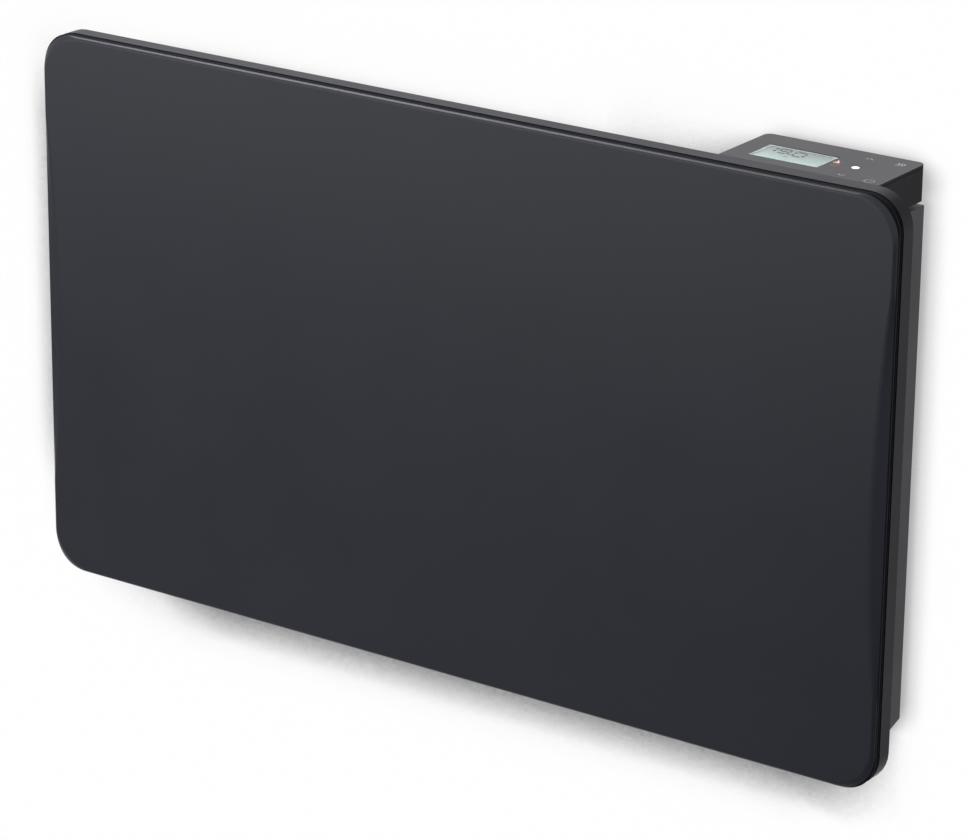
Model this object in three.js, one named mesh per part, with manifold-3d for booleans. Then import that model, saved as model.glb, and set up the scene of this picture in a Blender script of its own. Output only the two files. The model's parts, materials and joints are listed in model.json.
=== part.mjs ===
// Wall-hung ceramic electric radiator, in millimetres, with +Z up.
// The wall is the plane Y = 0 and the front faces -Y. The origin is the centre of the upper
// crossbar's back face, on the wall.
import * as THREE from 'three';
import { mergeVertices } from 'three/addons/utils/BufferGeometryUtils.js';
import Module from 'manifold-3d';

// Overall sizes
const panelWidth = 852;
const panelHeight = 500;
const panelDepth = 8;
const cornerRadius = 30;
const shadowGap = 2.2;
const casingDepth = 15;
const housingDepth = 76;
const wallGap = 14;
const originHeight = 400;

// Clearances, and how far a cutter passes what it cuts
const joint = 0.3;
const overrun = 2;

// Front panel: a pan with a full-round rim and two scooped flanks
const panelWall = 3;
const panelEdge = 4;
const rimWidth = 8;
const cornerEase = 10;
const scoopDepth = 12.7;
const scoopBottom = 76;
const scoopDeepest = 240;
const scoopTop = 430;
const scoopFlatness = 0.8;
const cornerSteps = 7;
const sideSteps = 22;
const edgeSteps = 3;
const backSteps = 2;

// Seal that sits back in the shadow gap
const sealInset = 4.6;
const sealWidth = 3;

// Posts that carry the front panel on the casing
const postRadius = 5;
const postInset = 41;
const postCornerRise = 24;

// Casing: a shallow steel pan with a window behind the core
const casingWall = 1.5;
const windowMargin = 8;

// Rear housing: a steel box with a rising floor
const housingInset = 32.4;
const housingTopDrop = 34.3;
const housingFrontRise = 1.3;
const housingBackRise = 24.4;
const housingWall = 1.5;
const flangeWidth = 12;
const flangeEndMargin = 20;
const flangeModuleMargin = 8;

// Air slots of the rear housing
const slotLength = 22;
const slotWidth = 5;
const slotPitch = 31;
const slotRowPitch = 14;
const slotRows = 2;
const slotEndMargin = 24;
const slotBackMargin = 18;

// Ceramic core, its element, and what holds them
const coreSideMargin = 126;
const coreHeadroom = 60;
const coreRise = 50;
const brickDepth = 12;
const brickEdge = 2;
const spreaderDepth = 1.5;
const insulationDepth = 6;
const insulationOverhang = 5;
const elementRadius = 3.2;
const elementRuns = 6;
const elementSideMargin = 40;
const bendSteps = 8;
const sleeveRadius = 4.6;
const sleeveLength = 12;
const pinRadius = 1.8;
const pinLength = 8;
const strapWidth = 24;
const strapWall = 1.5;
const strapFoot = 16;
const strapGrip = 20;
const strapInset = 90;
const strapCount = 3;

// Thermal cut-out beside the core
const cutoutRadius = 8;
const cutoutDepth = 9;
const cutoutOffset = 45;
const bladeLength = 8;
const bladeWidth = 6;
const bladeThickness = 0.8;

// Wires inside the casing
const leadRadius = 1.3;
const leadSpread = 7;
const leadHoleRadius = 7;
const leadHoleOffset = 42;
const leadRise = 0.8;
const leadSideOffset = 62;
const leadBend = 14;
const cornerShare = 0.3;
const leadSides = 6;
const leadSteps = 28;

// Cable grommet in the back of the rear housing
const grommetBore = 4.5;
const grommetNeck = 7.5;
const grommetLip = 10;
const grommetLipDepth = 3;
const grommetSideInset = 93;
const grommetRise = 70;

// Rubber pads between the rear housing and the wall
const padRadius = 10;
const padSideInset = 46;
const padRise = 48;

// Screws
const screwHeadRadius = 3.6;
const screwHeadDepth = 2.4;
const screwRadius = 1.7;
const screwLength = 9;
const screwClearance = 0.35;
const housingScrewsPerSide = 2;

// Wall bracket: two rails with hooks, two crossbars and two quarter-turn locks
const railSpacing = 400;
const railWidth = 36;
const railWall = 2;
const railTopDrop = 15.7;
const railBottomRise = 45.6;
const upperHookDrop = 80;
const lowerHookRise = 70;
const hookArm = 12;
const hookNose = 6;
const hookReach = 10;
const hookThroat = 2.5;
const hookSlotClearance = 2;
const barHeight = 30;
const barDepth = 8;
const upperBarDrop = 50;
const lowerBarRise = 40;
const screwSlotWidth = 6.5;
const screwSlotLength = 18;
const upperScrewDrop = 35;
const lowerScrewRise = 110;
const screwSlotShift = 3;
const lockRadius = 3;
const lockHeadRadius = 5;
const lockHeadDepth = 2.5;
const lockSlotWidth = 1.2;
const lockSlotDepth = 1.2;
const lockTongueLength = 16;
const lockTongueWidth = 9;
const lockTongueDepth = 3;
const lockPlay = 0.3;
const lockInset = 6;
const lockSlotClearance = 4;

// Control unit: a tray closed by a flush fascia
const moduleWidth = 145;
const moduleHeight = 30;
const moduleWall = 2;
const moduleCorner = 6;
const fasciaDepth = 2.5;
const postBaseRadius = 3;
const postBaseInset = 8;

// Display in the fascia
const windowSideMargin = 18.45;
const windowKeyGap = 22.45;
const windowFrontMargin = 13.95;
const windowBackMargin = 26.25;
const windowDepth = 1;
const windowLedge = 2.5;
const windowCorner = 1;
const lcdDepth = 1.8;
const backlightDepth = 2.6;
const boardDepth = 1.6;
const touchBoardInset = 2;

// Touch keys: conductive pads under the fascia
const touchPadRadius = 4;
const keyColumnInsets = { near: 40.6, far: 13.6 };
const keyBackInset = 15.5;
const keyFrontInset = 6.7;
const keyMiddleShift = 0.7;

// Power board: its clearances to the control unit's outside
const powerBoardSide = 20;
const powerBoardEnd = 15;
const powerBoardFront = 12;
const powerBoardBack = 9.7;
const standoffHeight = 2;
const standoffRadius = 3;
const standoffInset = 5;

// Its components: sizes, and centres as shares of the board's width and length
const componentHeadroom = 2.9;
const relaySize = { width: 20, length: 15 };
const relayShares = [0.24, 0.29];
const transformerSize = { width: 24, length: 19 };
const transformerShares = [0.53, 0.73];
const terminalSize = { width: 30, length: 10 };
const terminalHeadroom = 3.9;
const terminalFront = 2;
const terminalWays = 4;
const wayRadius = 1.9;
const wayDepth = 4;
const capacitorLength = 18;
const capacitorHeadroom = 5.9;
const capacitorShares = [0.26, 0.7];
const fuseRadius = 2.6;
const fuseLength = 20;
const fuseCap = 5;
const fuseShares = [0.82, 0.7];

// Bosses that take the control unit's screws
const moduleBossRadius = 3.5;
const moduleBossLength = 8;
const moduleBossRise = 9;
const moduleBossInsets = [30, 115];

// Room sensor in the control unit
const sensorRadius = 2;
const sensorHeight = 7;
const sensorInset = 8;
const ventWidth = 2;
const ventLength = 12;
const ventPitch = 5;
const ventCount = 4;
const ventInset = 15;

// Mains switch on the left side of the control unit
const switchWidth = 19;
const switchFloorGap = 6.7;
const switchHeadroom = 2.8;
const switchBodyDepth = 13;
const switchFlange = 1.2;
const switchFlangeDepth = 1.4;
const switchBackOffset = 24;
const rockerEndFrame = 2.5;
const rockerSideFrame = 2;
const rockerFaceRise = 3.4;
const rockerFaceDip = 1.7;
const rockerKeel = 3;
const rockerKeelShare = 0.7;
const rockerTilt = 9;
const rockerClearance = 0.5;
const rockerRoom = 1.4;
const trunnionRadius = 1;
const trunnionLength = 1;
const switchBladeLength = 5;
const switchBladeWidth = 3;
const switchBladeThickness = 0.8;

// Planes and edges that the pieces share
const halfWidth = panelWidth / 2;
const bottomZ = -originHeight;
const topZ = bottomZ + panelHeight;
const housingBackY = -wallGap;
const casingBackY = housingBackY - housingDepth;
const casingFrontY = casingBackY - casingDepth;
const panelBackY = casingFrontY - shadowGap;
const panelFrontY = panelBackY - panelDepth;
const casingFloorY = casingBackY - casingWall;
const housingFrontY = casingBackY + joint;
const housingHalf = halfWidth - housingInset;
const housingTopZ = topZ - housingTopDrop;
const housingFrontZ = bottomZ + housingFrontRise;
const housingBackZ = bottomZ + housingBackRise;
const spreaderY = panelFrontY + panelWall + joint;
const frontBrickY = spreaderY + spreaderDepth + joint;
const rearBrickY = frontBrickY + brickDepth + joint;
const elementY = rearBrickY - joint / 2;
const insulationY = rearBrickY + brickDepth + joint;
const strapY = insulationY + insulationDepth + joint;
const moduleRight = housingHalf;
const moduleLeft = moduleRight - moduleWidth;
const moduleBottomZ = topZ - moduleHeight;
const coreBottomZ = bottomZ + coreRise;
const coreTopZ = moduleBottomZ - coreHeadroom;
const coreHeight = coreTopZ - coreBottomZ;
const coreWidth = panelWidth - 2 * coreSideMargin;
const coreHalf = coreWidth / 2;
const strapSpacing = (coreWidth - 2 * strapInset) / (strapCount - 1);
const moduleFloorZ = moduleBottomZ + moduleWall;
const fasciaBottomZ = topZ - fasciaDepth;
const windowLeft = moduleLeft + windowSideMargin;
const windowRight = moduleRight - keyColumnInsets.near - windowKeyGap;
const windowFrontY = housingFrontY + windowFrontMargin;
const windowBackY = housingBackY - windowBackMargin;
const lcdZ = topZ - windowDepth - joint - lcdDepth;
const backlightZ = lcdZ - joint - backlightDepth;
const touchBoardZ = backlightZ - joint - boardDepth;
const powerBoardX = moduleLeft + powerBoardSide;
const powerBoardY = housingFrontY + powerBoardFront;
const powerBoardZ = moduleFloorZ + standoffHeight + joint;
const powerBoardWidth = moduleRight - powerBoardEnd - powerBoardX;
const powerBoardLength = housingBackY - powerBoardBack - powerBoardY;
const componentZ = powerBoardZ + boardDepth + joint;
const componentTopZ = touchBoardZ - componentHeadroom;
const terminalTopZ = touchBoardZ - terminalHeadroom;
const terminalY = powerBoardY + terminalFront;
const capacitorRadius = (touchBoardZ - capacitorHeadroom - componentZ) / 2;
const switchY = housingBackY - switchBackOffset;
const switchLowZ = moduleBottomZ + switchFloorGap;
const switchHighZ = touchBoardZ - switchHeadroom;
const switchZ = (switchLowZ + switchHighZ) / 2;
const leadHoleX = moduleRight - leadHoleOffset;
const leadHoleZ = (componentZ + terminalTopZ) / 2 + leadRise;
const railHalf = railSpacing / 2;
const railTop = housingTopZ - railTopDrop;
const railBottom = housingBackZ + railBottomRise;
const hookHeights = [railTop - upperHookDrop, railBottom + lowerHookRise];
const screwSlotHeights = [railTop - upperScrewDrop, railBottom + lowerScrewRise];
const lockY = housingBackY + lockInset;

const axisX = new THREE.Vector3(1, 0, 0);
const axisY = new THREE.Vector3(0, 1, 0);
const axisZ = new THREE.Vector3(0, 0, 1);
const quarter = Math.PI / 2;
const fineArc = 4;
const coarseArc = 2;

const wasm = await Module();
wasm.setup();

const radiator = new THREE.Group();

function add(name, geometry, finish) {
  const material = new THREE.MeshStandardMaterial(finish);
  const mesh = new THREE.Mesh(geometry, material);
  mesh.name = name;
  radiator.add(mesh);
  return mesh;
}

// Finishes
const paintedSteel = { color: 0x3a3b40, roughness: 0.45, metalness: 0.3 };
const panelPaint = { color: 0x35373d, roughness: 0.35, metalness: 0.2 };
const darkPlastic = { color: 0x3c3a3f, roughness: 0.5, metalness: 0 };
const zincSteel = { color: 0xb9bcc0, roughness: 0.4, metalness: 0.9 };
const aluminium = { color: 0xc9ccd0, roughness: 0.35, metalness: 0.9 };
const ceramic = { color: 0xd9cfbd, roughness: 0.9, metalness: 0 };
const elementSteel = { color: 0x6b655c, roughness: 0.5, metalness: 0.8 };
const mineralWool = { color: 0xe3dfd2, roughness: 1, metalness: 0 };
const blackRubber = { color: 0x1c1c1e, roughness: 0.85, metalness: 0 };
const boardGreen = { color: 0x1f5c3a, roughness: 0.6, metalness: 0 };
const lcdGrey = { color: 0xb9c9c7, roughness: 0.25, metalness: 0 };
const clearLens = { color: 0xdfe8e8, roughness: 0.05, metalness: 0, transparent: true, opacity: 0.3 };
const whitePlastic = { color: 0xe8e8e4, roughness: 0.6, metalness: 0 };
const relayBlue = { color: 0x2a5fa8, roughness: 0.5, metalness: 0 };
const darkSleeve = { color: 0x26262a, roughness: 0.6, metalness: 0 };
const redSilicone = { color: 0xa8352c, roughness: 0.7, metalness: 0 };

// Solids: joining and cutting
function solidOf(geometry) {
  const bare = geometry.clone();
  bare.deleteAttribute('normal');
  bare.deleteAttribute('uv');
  const merged = mergeVertices(bare);
  const vertProperties = new Float32Array(merged.attributes.position.array);
  const triVerts = new Uint32Array(merged.index.array);
  return new wasm.Manifold(new wasm.Mesh({ numProp: 3, vertProperties, triVerts }));
}

function geometryOf(solid) {
  const mesh = solid.getMesh();
  const geometry = new THREE.BufferGeometry();
  geometry.setAttribute('position', new THREE.BufferAttribute(mesh.vertProperties, mesh.numProp));
  geometry.setIndex(new THREE.BufferAttribute(mesh.triVerts, 1));
  geometry.computeVertexNormals();
  return geometry;
}

function join(geometries) {
  const solids = geometries.map(solidOf);
  return geometryOf(solids.reduce((whole, next) => whole.add(next)));
}

function cut(geometry, tools) {
  const solids = tools.map(solidOf);
  return geometryOf(solids.reduce((whole, next) => whole.subtract(next), solidOf(geometry)));
}

// Shapes: a box between limits, and outlines run along one axis
function block(x0, x1, y0, y1, z0, z1) {
  const geometry = new THREE.BoxGeometry(x1 - x0, y1 - y0, z1 - z0);
  return geometry.translate((x0 + x1) / 2, (y0 + y1) / 2, (z0 + z1) / 2);
}

function extrude(outline, depth, curveSegments) {
  return new THREE.ExtrudeGeometry(outline, { depth, curveSegments, bevelEnabled: false });
}

function alongX(outline, x0, x1, curveSegments = fineArc) {
  const turn = new THREE.Matrix4().makeBasis(axisY, axisZ, axisX);
  return extrude(outline, x1 - x0, curveSegments).applyMatrix4(turn).translate(x0, 0, 0);
}

function alongY(outline, y0, y1, curveSegments = fineArc) {
  const turn = new THREE.Matrix4().makeBasis(axisX, axisZ, axisY.clone().negate());
  return extrude(outline, y1 - y0, curveSegments).applyMatrix4(turn).translate(0, y1, 0);
}

function alongZ(outline, z0, z1, curveSegments = fineArc) {
  return extrude(outline, z1 - z0, curveSegments).translate(0, 0, z0);
}

function polygon(points) {
  return new THREE.Shape(points.map(([a, b]) => new THREE.Vector2(a, b)));
}

// A rectangle whose corners have their own radii, in the order left low, right low, right high, left high
function roundedRectangle(a0, a1, b0, b1, radii) {
  const [leftLow, rightLow, rightHigh, leftHigh] = Array.isArray(radii) ? radii : Array(4).fill(radii);
  const shape = new THREE.Shape();
  const corner = (a, b, radius, turn) => {
    if (radius > 0) shape.absarc(a, b, radius, turn, turn + quarter, false);
    else shape.lineTo(a, b);
  };
  shape.moveTo(a0 + leftLow, b0);
  corner(a1 - rightLow, b0 + rightLow, rightLow, -quarter);
  corner(a1 - rightHigh, b1 - rightHigh, rightHigh, 0);
  corner(a0 + leftHigh, b1 - leftHigh, leftHigh, quarter);
  corner(a0 + leftLow, b0 + leftLow, leftLow, 2 * quarter);
  return shape;
}

function rod(axis, centre, radius, from, to, sides) {
  const geometry = new THREE.CylinderGeometry(radius, radius, to - from, sides);
  if (axis === 'x') geometry.rotateZ(-quarter);
  if (axis === 'z') geometry.rotateX(quarter);
  const middle = (from + to) / 2;
  if (axis === 'x') return geometry.translate(middle, centre[0], centre[1]);
  if (axis === 'y') return geometry.translate(centre[0], middle, centre[1]);
  return geometry.translate(centre[0], centre[1], middle);
}

// A solid through outlines of the same number of points, from the front one to the back one
function loft(outlines, depths) {
  const count = outlines[0].length;
  const positions = [];
  outlines.forEach((outline, ring) => {
    outline.forEach((point) => positions.push(point.x, depths[ring], point.y));
  });
  const faces = [];
  const lastRing = (outlines.length - 1) * count;
  for (const [a, b, c] of THREE.ShapeUtils.triangulateShape(outlines[0], [])) {
    faces.push(a, b, c);
  }
  for (const [a, b, c] of THREE.ShapeUtils.triangulateShape(outlines[outlines.length - 1], [])) {
    faces.push(lastRing + a, lastRing + c, lastRing + b);
  }
  for (let ring = 0; ring < outlines.length - 1; ring += 1) {
    for (let i = 0; i < count; i += 1) {
      const front = ring * count + i;
      const frontNext = ring * count + ((i + 1) % count);
      const back = front + count;
      const backNext = frontNext + count;
      faces.push(front, back, backNext, front, backNext, frontNext);
    }
  }
  const geometry = new THREE.BufferGeometry();
  geometry.setAttribute('position', new THREE.Float32BufferAttribute(positions, 3));
  geometry.setIndex(faces);
  geometry.computeVertexNormals();
  return geometry;
}

// Front panel

// How far the flank's front edge lies in from the panel's side, at a height
function scoopAt(z) {
  const rise = z - bottomZ - scoopDeepest;
  const reach = rise > 0 ? scoopTop - scoopDeepest : scoopDeepest - scoopBottom;
  const share = Math.min(Math.abs(rise) / reach, 1);
  return scoopDepth * Math.max(Math.cos(share * quarter), 0) ** scoopFlatness;
}

// The panel's outline drawn in by an inset, and by the flank where that goes deeper. Its corners
// are larger by the given ease
function panelOutline(inset, flankAt, ease = 0) {
  const radius = cornerRadius + ease - inset;
  const sideX = halfWidth - inset - radius;
  const lowZ = bottomZ + inset + radius;
  const highZ = topZ - inset - radius;
  const right = [];
  const arc = (centreZ, start) => {
    for (let i = 0; i <= cornerSteps; i += 1) {
      const angle = start + (quarter * i) / cornerSteps;
      right.push([sideX + radius * Math.cos(angle), centreZ + radius * Math.sin(angle)]);
    }
  };
  arc(lowZ, -quarter);
  for (let i = 1; i < sideSteps; i += 1) {
    right.push([sideX + radius, lowZ + ((highZ - lowZ) * i) / sideSteps]);
  }
  arc(highZ, 0);
  const drawn = right.map(([x, z]) => new THREE.Vector2(Math.min(x, halfWidth - flankAt(z)), z));
  const mirrored = drawn.map((point) => new THREE.Vector2(-point.x, point.y)).reverse();
  return [...drawn, ...mirrored];
}

function makeFrontPanel() {
  const flank = (depth) => (z) => scoopAt(z) * Math.max(1 - depth / panelEdge, 0);
  const outlines = [];
  const depths = [];
  for (let i = 0; i <= edgeSteps; i += 1) {
    const angle = (quarter * i) / edgeSteps;
    const depth = panelEdge * (1 - Math.cos(angle));
    const ease = cornerEase * (1 - depth / panelEdge);
    outlines.push(panelOutline(panelEdge * (1 - Math.sin(angle)), flank(depth), ease));
    depths.push(panelFrontY + depth);
  }
  const backEdge = panelDepth - panelEdge;
  for (let i = 1; i <= backSteps; i += 1) {
    const angle = (quarter * i) / backSteps;
    outlines.push(panelOutline(backEdge * (1 - Math.cos(angle)), flank(panelDepth)));
    depths.push(panelFrontY + panelEdge + backEdge * Math.sin(angle));
  }

  const inside = (z) => rimWidth + flank(panelWall)(z);
  const roomDepths = [panelWall, panelDepth + overrun];
  const roomOutlines = roomDepths.map(() => panelOutline(rimWidth, inside));
  const room = loft(roomOutlines, roomDepths.map((depth) => panelFrontY + depth));
  add('front_panel', cut(loft(outlines, depths), [room]), panelPaint);
}

function frameOutline(inset) {
  const radius = cornerRadius - inset;
  return roundedRectangle(-halfWidth + inset, halfWidth - inset, bottomZ + inset, topZ - inset, radius);
}

function makePanelSeal() {
  const outline = frameOutline(sealInset);
  outline.holes.push(frameOutline(sealInset + sealWidth));
  add('panel_seal', alongY(outline, panelBackY + joint, casingFrontY - joint, coarseArc), blackRubber);
}

function makePanelPosts() {
  const x = halfWidth - postInset;
  const heights = {
    lower: bottomZ + postCornerRise,
    middle: (bottomZ + topZ) / 2,
    upper: topZ - postCornerRise,
  };
  for (const [side, name] of [[-1, 'left'], [1, 'right']]) {
    for (const [level, z] of Object.entries(heights)) {
      const post = rod('y', [side * x, z], postRadius, spreaderY, casingFloorY - joint, 12);
      add(`panel_post_${level}_${name}`, post, zincSteel);
    }
  }
}

// Casing

// Places of the screws in the rear housing's side flanges
function housingScrewPlaces() {
  const x = housingHalf + flangeWidth / 2;
  const low = housingBackZ + flangeEndMargin;
  const high = housingTopZ - flangeEndMargin;
  const places = [];
  for (const side of [-1, 1]) {
    for (let i = 0; i < housingScrewsPerSide; i += 1) {
      places.push([side * x, low + ((high - low) * i) / (housingScrewsPerSide - 1)]);
    }
  }
  return places;
}

function moduleScrewPlaces() {
  return moduleBossInsets.map((inset) => [moduleLeft + inset, moduleBottomZ + moduleBossRise]);
}

function boresAlongY(places, radius, y0, y1, sides = 10) {
  return places.map((place) => rod('y', place, radius, y0, y1, sides));
}

function makeCasing() {
  const shell = alongY(frameOutline(0), casingFrontY, casingBackY);
  const room = alongY(frameOutline(casingWall), casingFrontY - overrun, casingFloorY);
  const window = block(
    -coreHalf - windowMargin,
    coreHalf + windowMargin,
    casingFrontY,
    casingBackY + overrun,
    coreBottomZ - windowMargin,
    coreTopZ + windowMargin,
  );
  const from = casingFloorY - overrun;
  const to = casingBackY + overrun;
  const bores = boresAlongY(
    [...housingScrewPlaces(), ...moduleScrewPlaces()],
    screwRadius + screwClearance,
    from,
    to,
  );
  const leadHole = rod('y', [leadHoleX, leadHoleZ], leadHoleRadius, from, to, 16);
  add('casing', cut(shell, [room, window, ...bores, leadHole]), paintedSteel);
}

// Rear housing

function slotRow(centres, y) {
  return centres.map((x) => roundedRectangle(
    x - slotLength / 2,
    x + slotLength / 2,
    y - slotWidth / 2,
    y + slotWidth / 2,
    slotWidth / 2,
  ));
}

function slotField(x0, x1, z0, z1) {
  const count = Math.floor((x1 - x0 - slotLength) / slotPitch) + 1;
  const start = (x0 + x1) / 2 - ((count - 1) * slotPitch) / 2;
  const centres = Array.from({ length: count }, (unused, i) => start + i * slotPitch);
  const shapes = [];
  for (let row = 0; row < slotRows; row += 1) {
    shapes.push(...slotRow(centres, housingBackY - slotBackMargin - row * slotRowPitch));
  }
  return alongZ(shapes, z0, z1, 1);
}

function makeRearHousing() {
  const shell = alongX(polygon([
    [housingFrontY, housingFrontZ],
    [housingBackY, housingBackZ],
    [housingBackY, housingTopZ],
    [housingFrontY, housingTopZ],
  ]), -housingHalf, housingHalf);
  const slope = (housingBackZ - housingFrontZ) / (housingBackY - housingFrontY);
  const floorAt = (y) => housingFrontZ + slope * (y - housingFrontY) + housingWall * Math.hypot(1, slope);
  const roomBackY = housingBackY - housingWall;
  const roomFrontY = housingFrontY - overrun;
  const room = alongX(polygon([
    [roomFrontY, floorAt(roomFrontY)],
    [roomBackY, floorAt(roomBackY)],
    [roomBackY, housingTopZ - housingWall],
    [roomFrontY, housingTopZ - housingWall],
  ]), -housingHalf + housingWall, housingHalf - housingWall);

  const flangeY = housingFrontY + housingWall;
  const lowZ = housingBackZ;
  const sideFlange = (side) => block(
    Math.min(side * (housingHalf - housingWall), side * (housingHalf + flangeWidth)),
    Math.max(side * (housingHalf - housingWall), side * (housingHalf + flangeWidth)),
    housingFrontY,
    flangeY,
    lowZ,
    housingTopZ,
  );
  const topFlange = block(
    -housingHalf,
    moduleLeft - flangeModuleMargin,
    housingFrontY,
    flangeY,
    housingTopZ - housingWall,
    housingTopZ + flangeWidth,
  );

  const cutters = [room];
  cutters.push(slotField(
    -housingHalf + slotEndMargin,
    moduleLeft - slotEndMargin,
    housingTopZ - housingWall - overrun,
    housingTopZ + overrun,
  ));
  cutters.push(slotField(
    -housingHalf + slotEndMargin,
    housingHalf - slotEndMargin,
    housingFrontZ - overrun,
    floorAt(roomBackY) + overrun,
  ));
  const backFrom = roomBackY - overrun;
  const backTo = housingBackY + overrun;
  for (const side of [-1, 1]) {
    const flangeX = side * (railHalf - railWidth / 2 + railWall / 2);
    const halfSlot = railWall / 2 + hookSlotClearance;
    for (const z of hookHeights) {
      const drop = hookArm + hookNose + hookSlotClearance;
      cutters.push(block(flangeX - halfSlot, flangeX + halfSlot, backFrom, backTo, z - drop, z + joint));
    }
    const tongueReach = lockTongueLength + lockSlotClearance;
    const tongueTail = lockTongueWidth / 2 + lockSlotClearance;
    const low = lockTongueZ() - lockSlotClearance;
    const high = lockTongueZ() + lockTongueDepth + lockSlotClearance;
    const inner = side * (railHalf - tongueTail);
    const outer = side * (railHalf + tongueReach);
    cutters.push(block(Math.min(inner, outer), Math.max(inner, outer), backFrom, backTo, low, high));
  }
  cutters.push(rod('y', grommetPlace(), grommetNeck + joint, backFrom, backTo, 20));
  cutters.push(...boresAlongY(
    housingScrewPlaces(),
    screwRadius + screwClearance,
    housingFrontY - overrun,
    flangeY + overrun,
  ));
  const body = join([shell, sideFlange(-1), sideFlange(1), topFlange]);
  add('rear_housing', cut(body, cutters), paintedSteel);
}

function grommetPlace() {
  return [housingHalf - grommetSideInset, bottomZ + grommetRise];
}

function makeGrommet() {
  const inner = housingBackY - housingWall - joint;
  const outer = housingBackY + joint;
  const profile = [
    [grommetBore, inner - grommetLipDepth],
    [grommetLip, inner - grommetLipDepth],
    [grommetLip, inner],
    [grommetNeck, inner],
    [grommetNeck, outer],
    [grommetLip, outer],
    [grommetLip, outer + grommetLipDepth],
    [grommetBore, outer + grommetLipDepth],
    [grommetBore, inner - grommetLipDepth],
  ];
  const points = profile.map(([radius, y]) => new THREE.Vector2(radius, y));
  const [x, z] = grommetPlace();
  add('cable_grommet', new THREE.LatheGeometry(points, 20).translate(x, 0, z), blackRubber);
}

function makeWallPads() {
  for (const [side, name] of [[-1, 'left'], [1, 'right']]) {
    const place = [side * (housingHalf - padSideInset), bottomZ + padRise];
    add(`wall_pad_${name}`, rod('y', place, padRadius, housingBackY + joint, 0, 20), blackRubber);
  }
}

// A pan-head screw along Y: its head lies on seatY and its shank runs towards -Y or +Y
function screwGeometry([x, z], seatY, direction) {
  const head = [
    [0, -screwLength],
    [screwRadius, -screwLength],
    [screwRadius, joint],
    [screwHeadRadius, joint],
    [screwHeadRadius, joint + screwHeadDepth / 2],
    [screwHeadRadius / 2, joint + screwHeadDepth],
    [0, joint + screwHeadDepth],
  ];
  const points = head.map(([radius, height]) => new THREE.Vector2(radius, height));
  const geometry = new THREE.LatheGeometry(points, 10);
  if (direction > 0) geometry.rotateX(2 * quarter);
  return geometry.translate(x, seatY, z);
}

function makeHousingScrews() {
  housingScrewPlaces().forEach((place, i) => {
    const screw = screwGeometry(place, housingFrontY + housingWall, -1);
    add(`housing_screw_${i + 1}`, screw, zincSteel);
  });
}

// Ceramic core

// The element's centre line: parallel runs joined by half-circle bends, both ends on the right
class SerpentinePath extends THREE.Curve {
  constructor() {
    super();
    const pitch = coreHeight / elementRuns;
    const reach = coreHalf - elementSideMargin;
    this.stations = [];
    for (let run = 0; run < elementRuns; run += 1) {
      const z = coreTopZ - pitch * (run + 0.5);
      const direction = run % 2 === 0 ? -1 : 1;
      const startX = run === 0 ? coreHalf + joint : -direction * reach;
      const endX = run === elementRuns - 1 ? coreHalf + joint : direction * reach;
      this.stations.push([startX, z], [endX, z]);
      if (run === elementRuns - 1) continue;
      for (let i = 1; i < bendSteps; i += 1) {
        const angle = (Math.PI * i) / bendSteps;
        const out = (pitch / 2) * Math.sin(angle);
        const down = (pitch / 2) * (1 - Math.cos(angle));
        this.stations.push([endX + direction * out, z - down]);
      }
    }
  }

  get steps() {
    return this.stations.length - 1;
  }

  getUtoTmapping(u) {
    return u;
  }

  getPoint(t, target = new THREE.Vector3()) {
    const place = Math.min(t * this.steps, this.steps);
    const before = Math.min(Math.floor(place), this.steps - 1);
    const share = place - before;
    const [x0, z0] = this.stations[before];
    const [x1, z1] = this.stations[before + 1];
    return target.set(x0 + (x1 - x0) * share, elementY, z0 + (z1 - z0) * share);
  }
}

function regularSection(radius, sides) {
  const points = Array.from({ length: sides }, (unused, i) => {
    const angle = (2 * Math.PI * (i + 0.5)) / sides;
    return new THREE.Vector2(radius * Math.cos(angle), radius * Math.sin(angle));
  });
  return new THREE.Shape(points);
}

function tube(path, steps, radius, sides) {
  return new THREE.ExtrudeGeometry(regularSection(radius, sides), { steps, extrudePath: path });
}

function makeHeatingElement(path) {
  const core = tube(path, path.steps, elementRadius, 8);
  const ends = [path.stations[0], path.stations[path.steps]].flatMap(([x, z]) => {
    const sleeveEnd = x + sleeveLength;
    return [
      rod('x', [elementY, z], sleeveRadius, x, sleeveEnd, 12),
      rod('x', [elementY, z], pinRadius, sleeveEnd - sleeveRadius, sleeveEnd + pinLength, 8),
    ];
  });
  const lastRun = [path.stations[0], path.stations[path.steps]].map(([x, z]) => (
    rod('x', [elementY, z], elementRadius, x - sleeveLength, x + sleeveRadius, 8)
  ));
  add('heating_element', join([core, ...lastRun, ...ends]), elementSteel);
}

function brickOutline(side) {
  const inner = joint / 2;
  const x0 = side < 0 ? -coreHalf : inner;
  const x1 = side < 0 ? -inner : coreHalf;
  const shape = new THREE.Shape();
  const corners = [
    [x0 + brickEdge, coreBottomZ], [x1 - brickEdge, coreBottomZ],
    [x1, coreBottomZ + brickEdge], [x1, coreTopZ - brickEdge],
    [x1 - brickEdge, coreTopZ], [x0 + brickEdge, coreTopZ],
    [x0, coreTopZ - brickEdge], [x0, coreBottomZ + brickEdge],
  ];
  shape.setFromPoints(corners.map(([x, z]) => new THREE.Vector2(x, z)));
  return shape;
}

function makeBricks(path) {
  const groove = tube(path, path.steps, elementRadius + joint * 2, 8);
  const outlets = [path.stations[0], path.stations[path.steps]].map(([x, z]) => (
    rod('x', [elementY, z], elementRadius + joint * 2, x - sleeveLength - overrun, x + overrun, 8)
  ));
  for (const [layer, y] of [['front', frontBrickY], ['rear', rearBrickY]]) {
    for (const [side, name] of [[-1, 'left'], [1, 'right']]) {
      const brick = alongY(brickOutline(side), y, y + brickDepth);
      add(`ceramic_brick_${layer}_${name}`, cut(brick, [groove, ...outlets]), ceramic);
    }
  }
}

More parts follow.
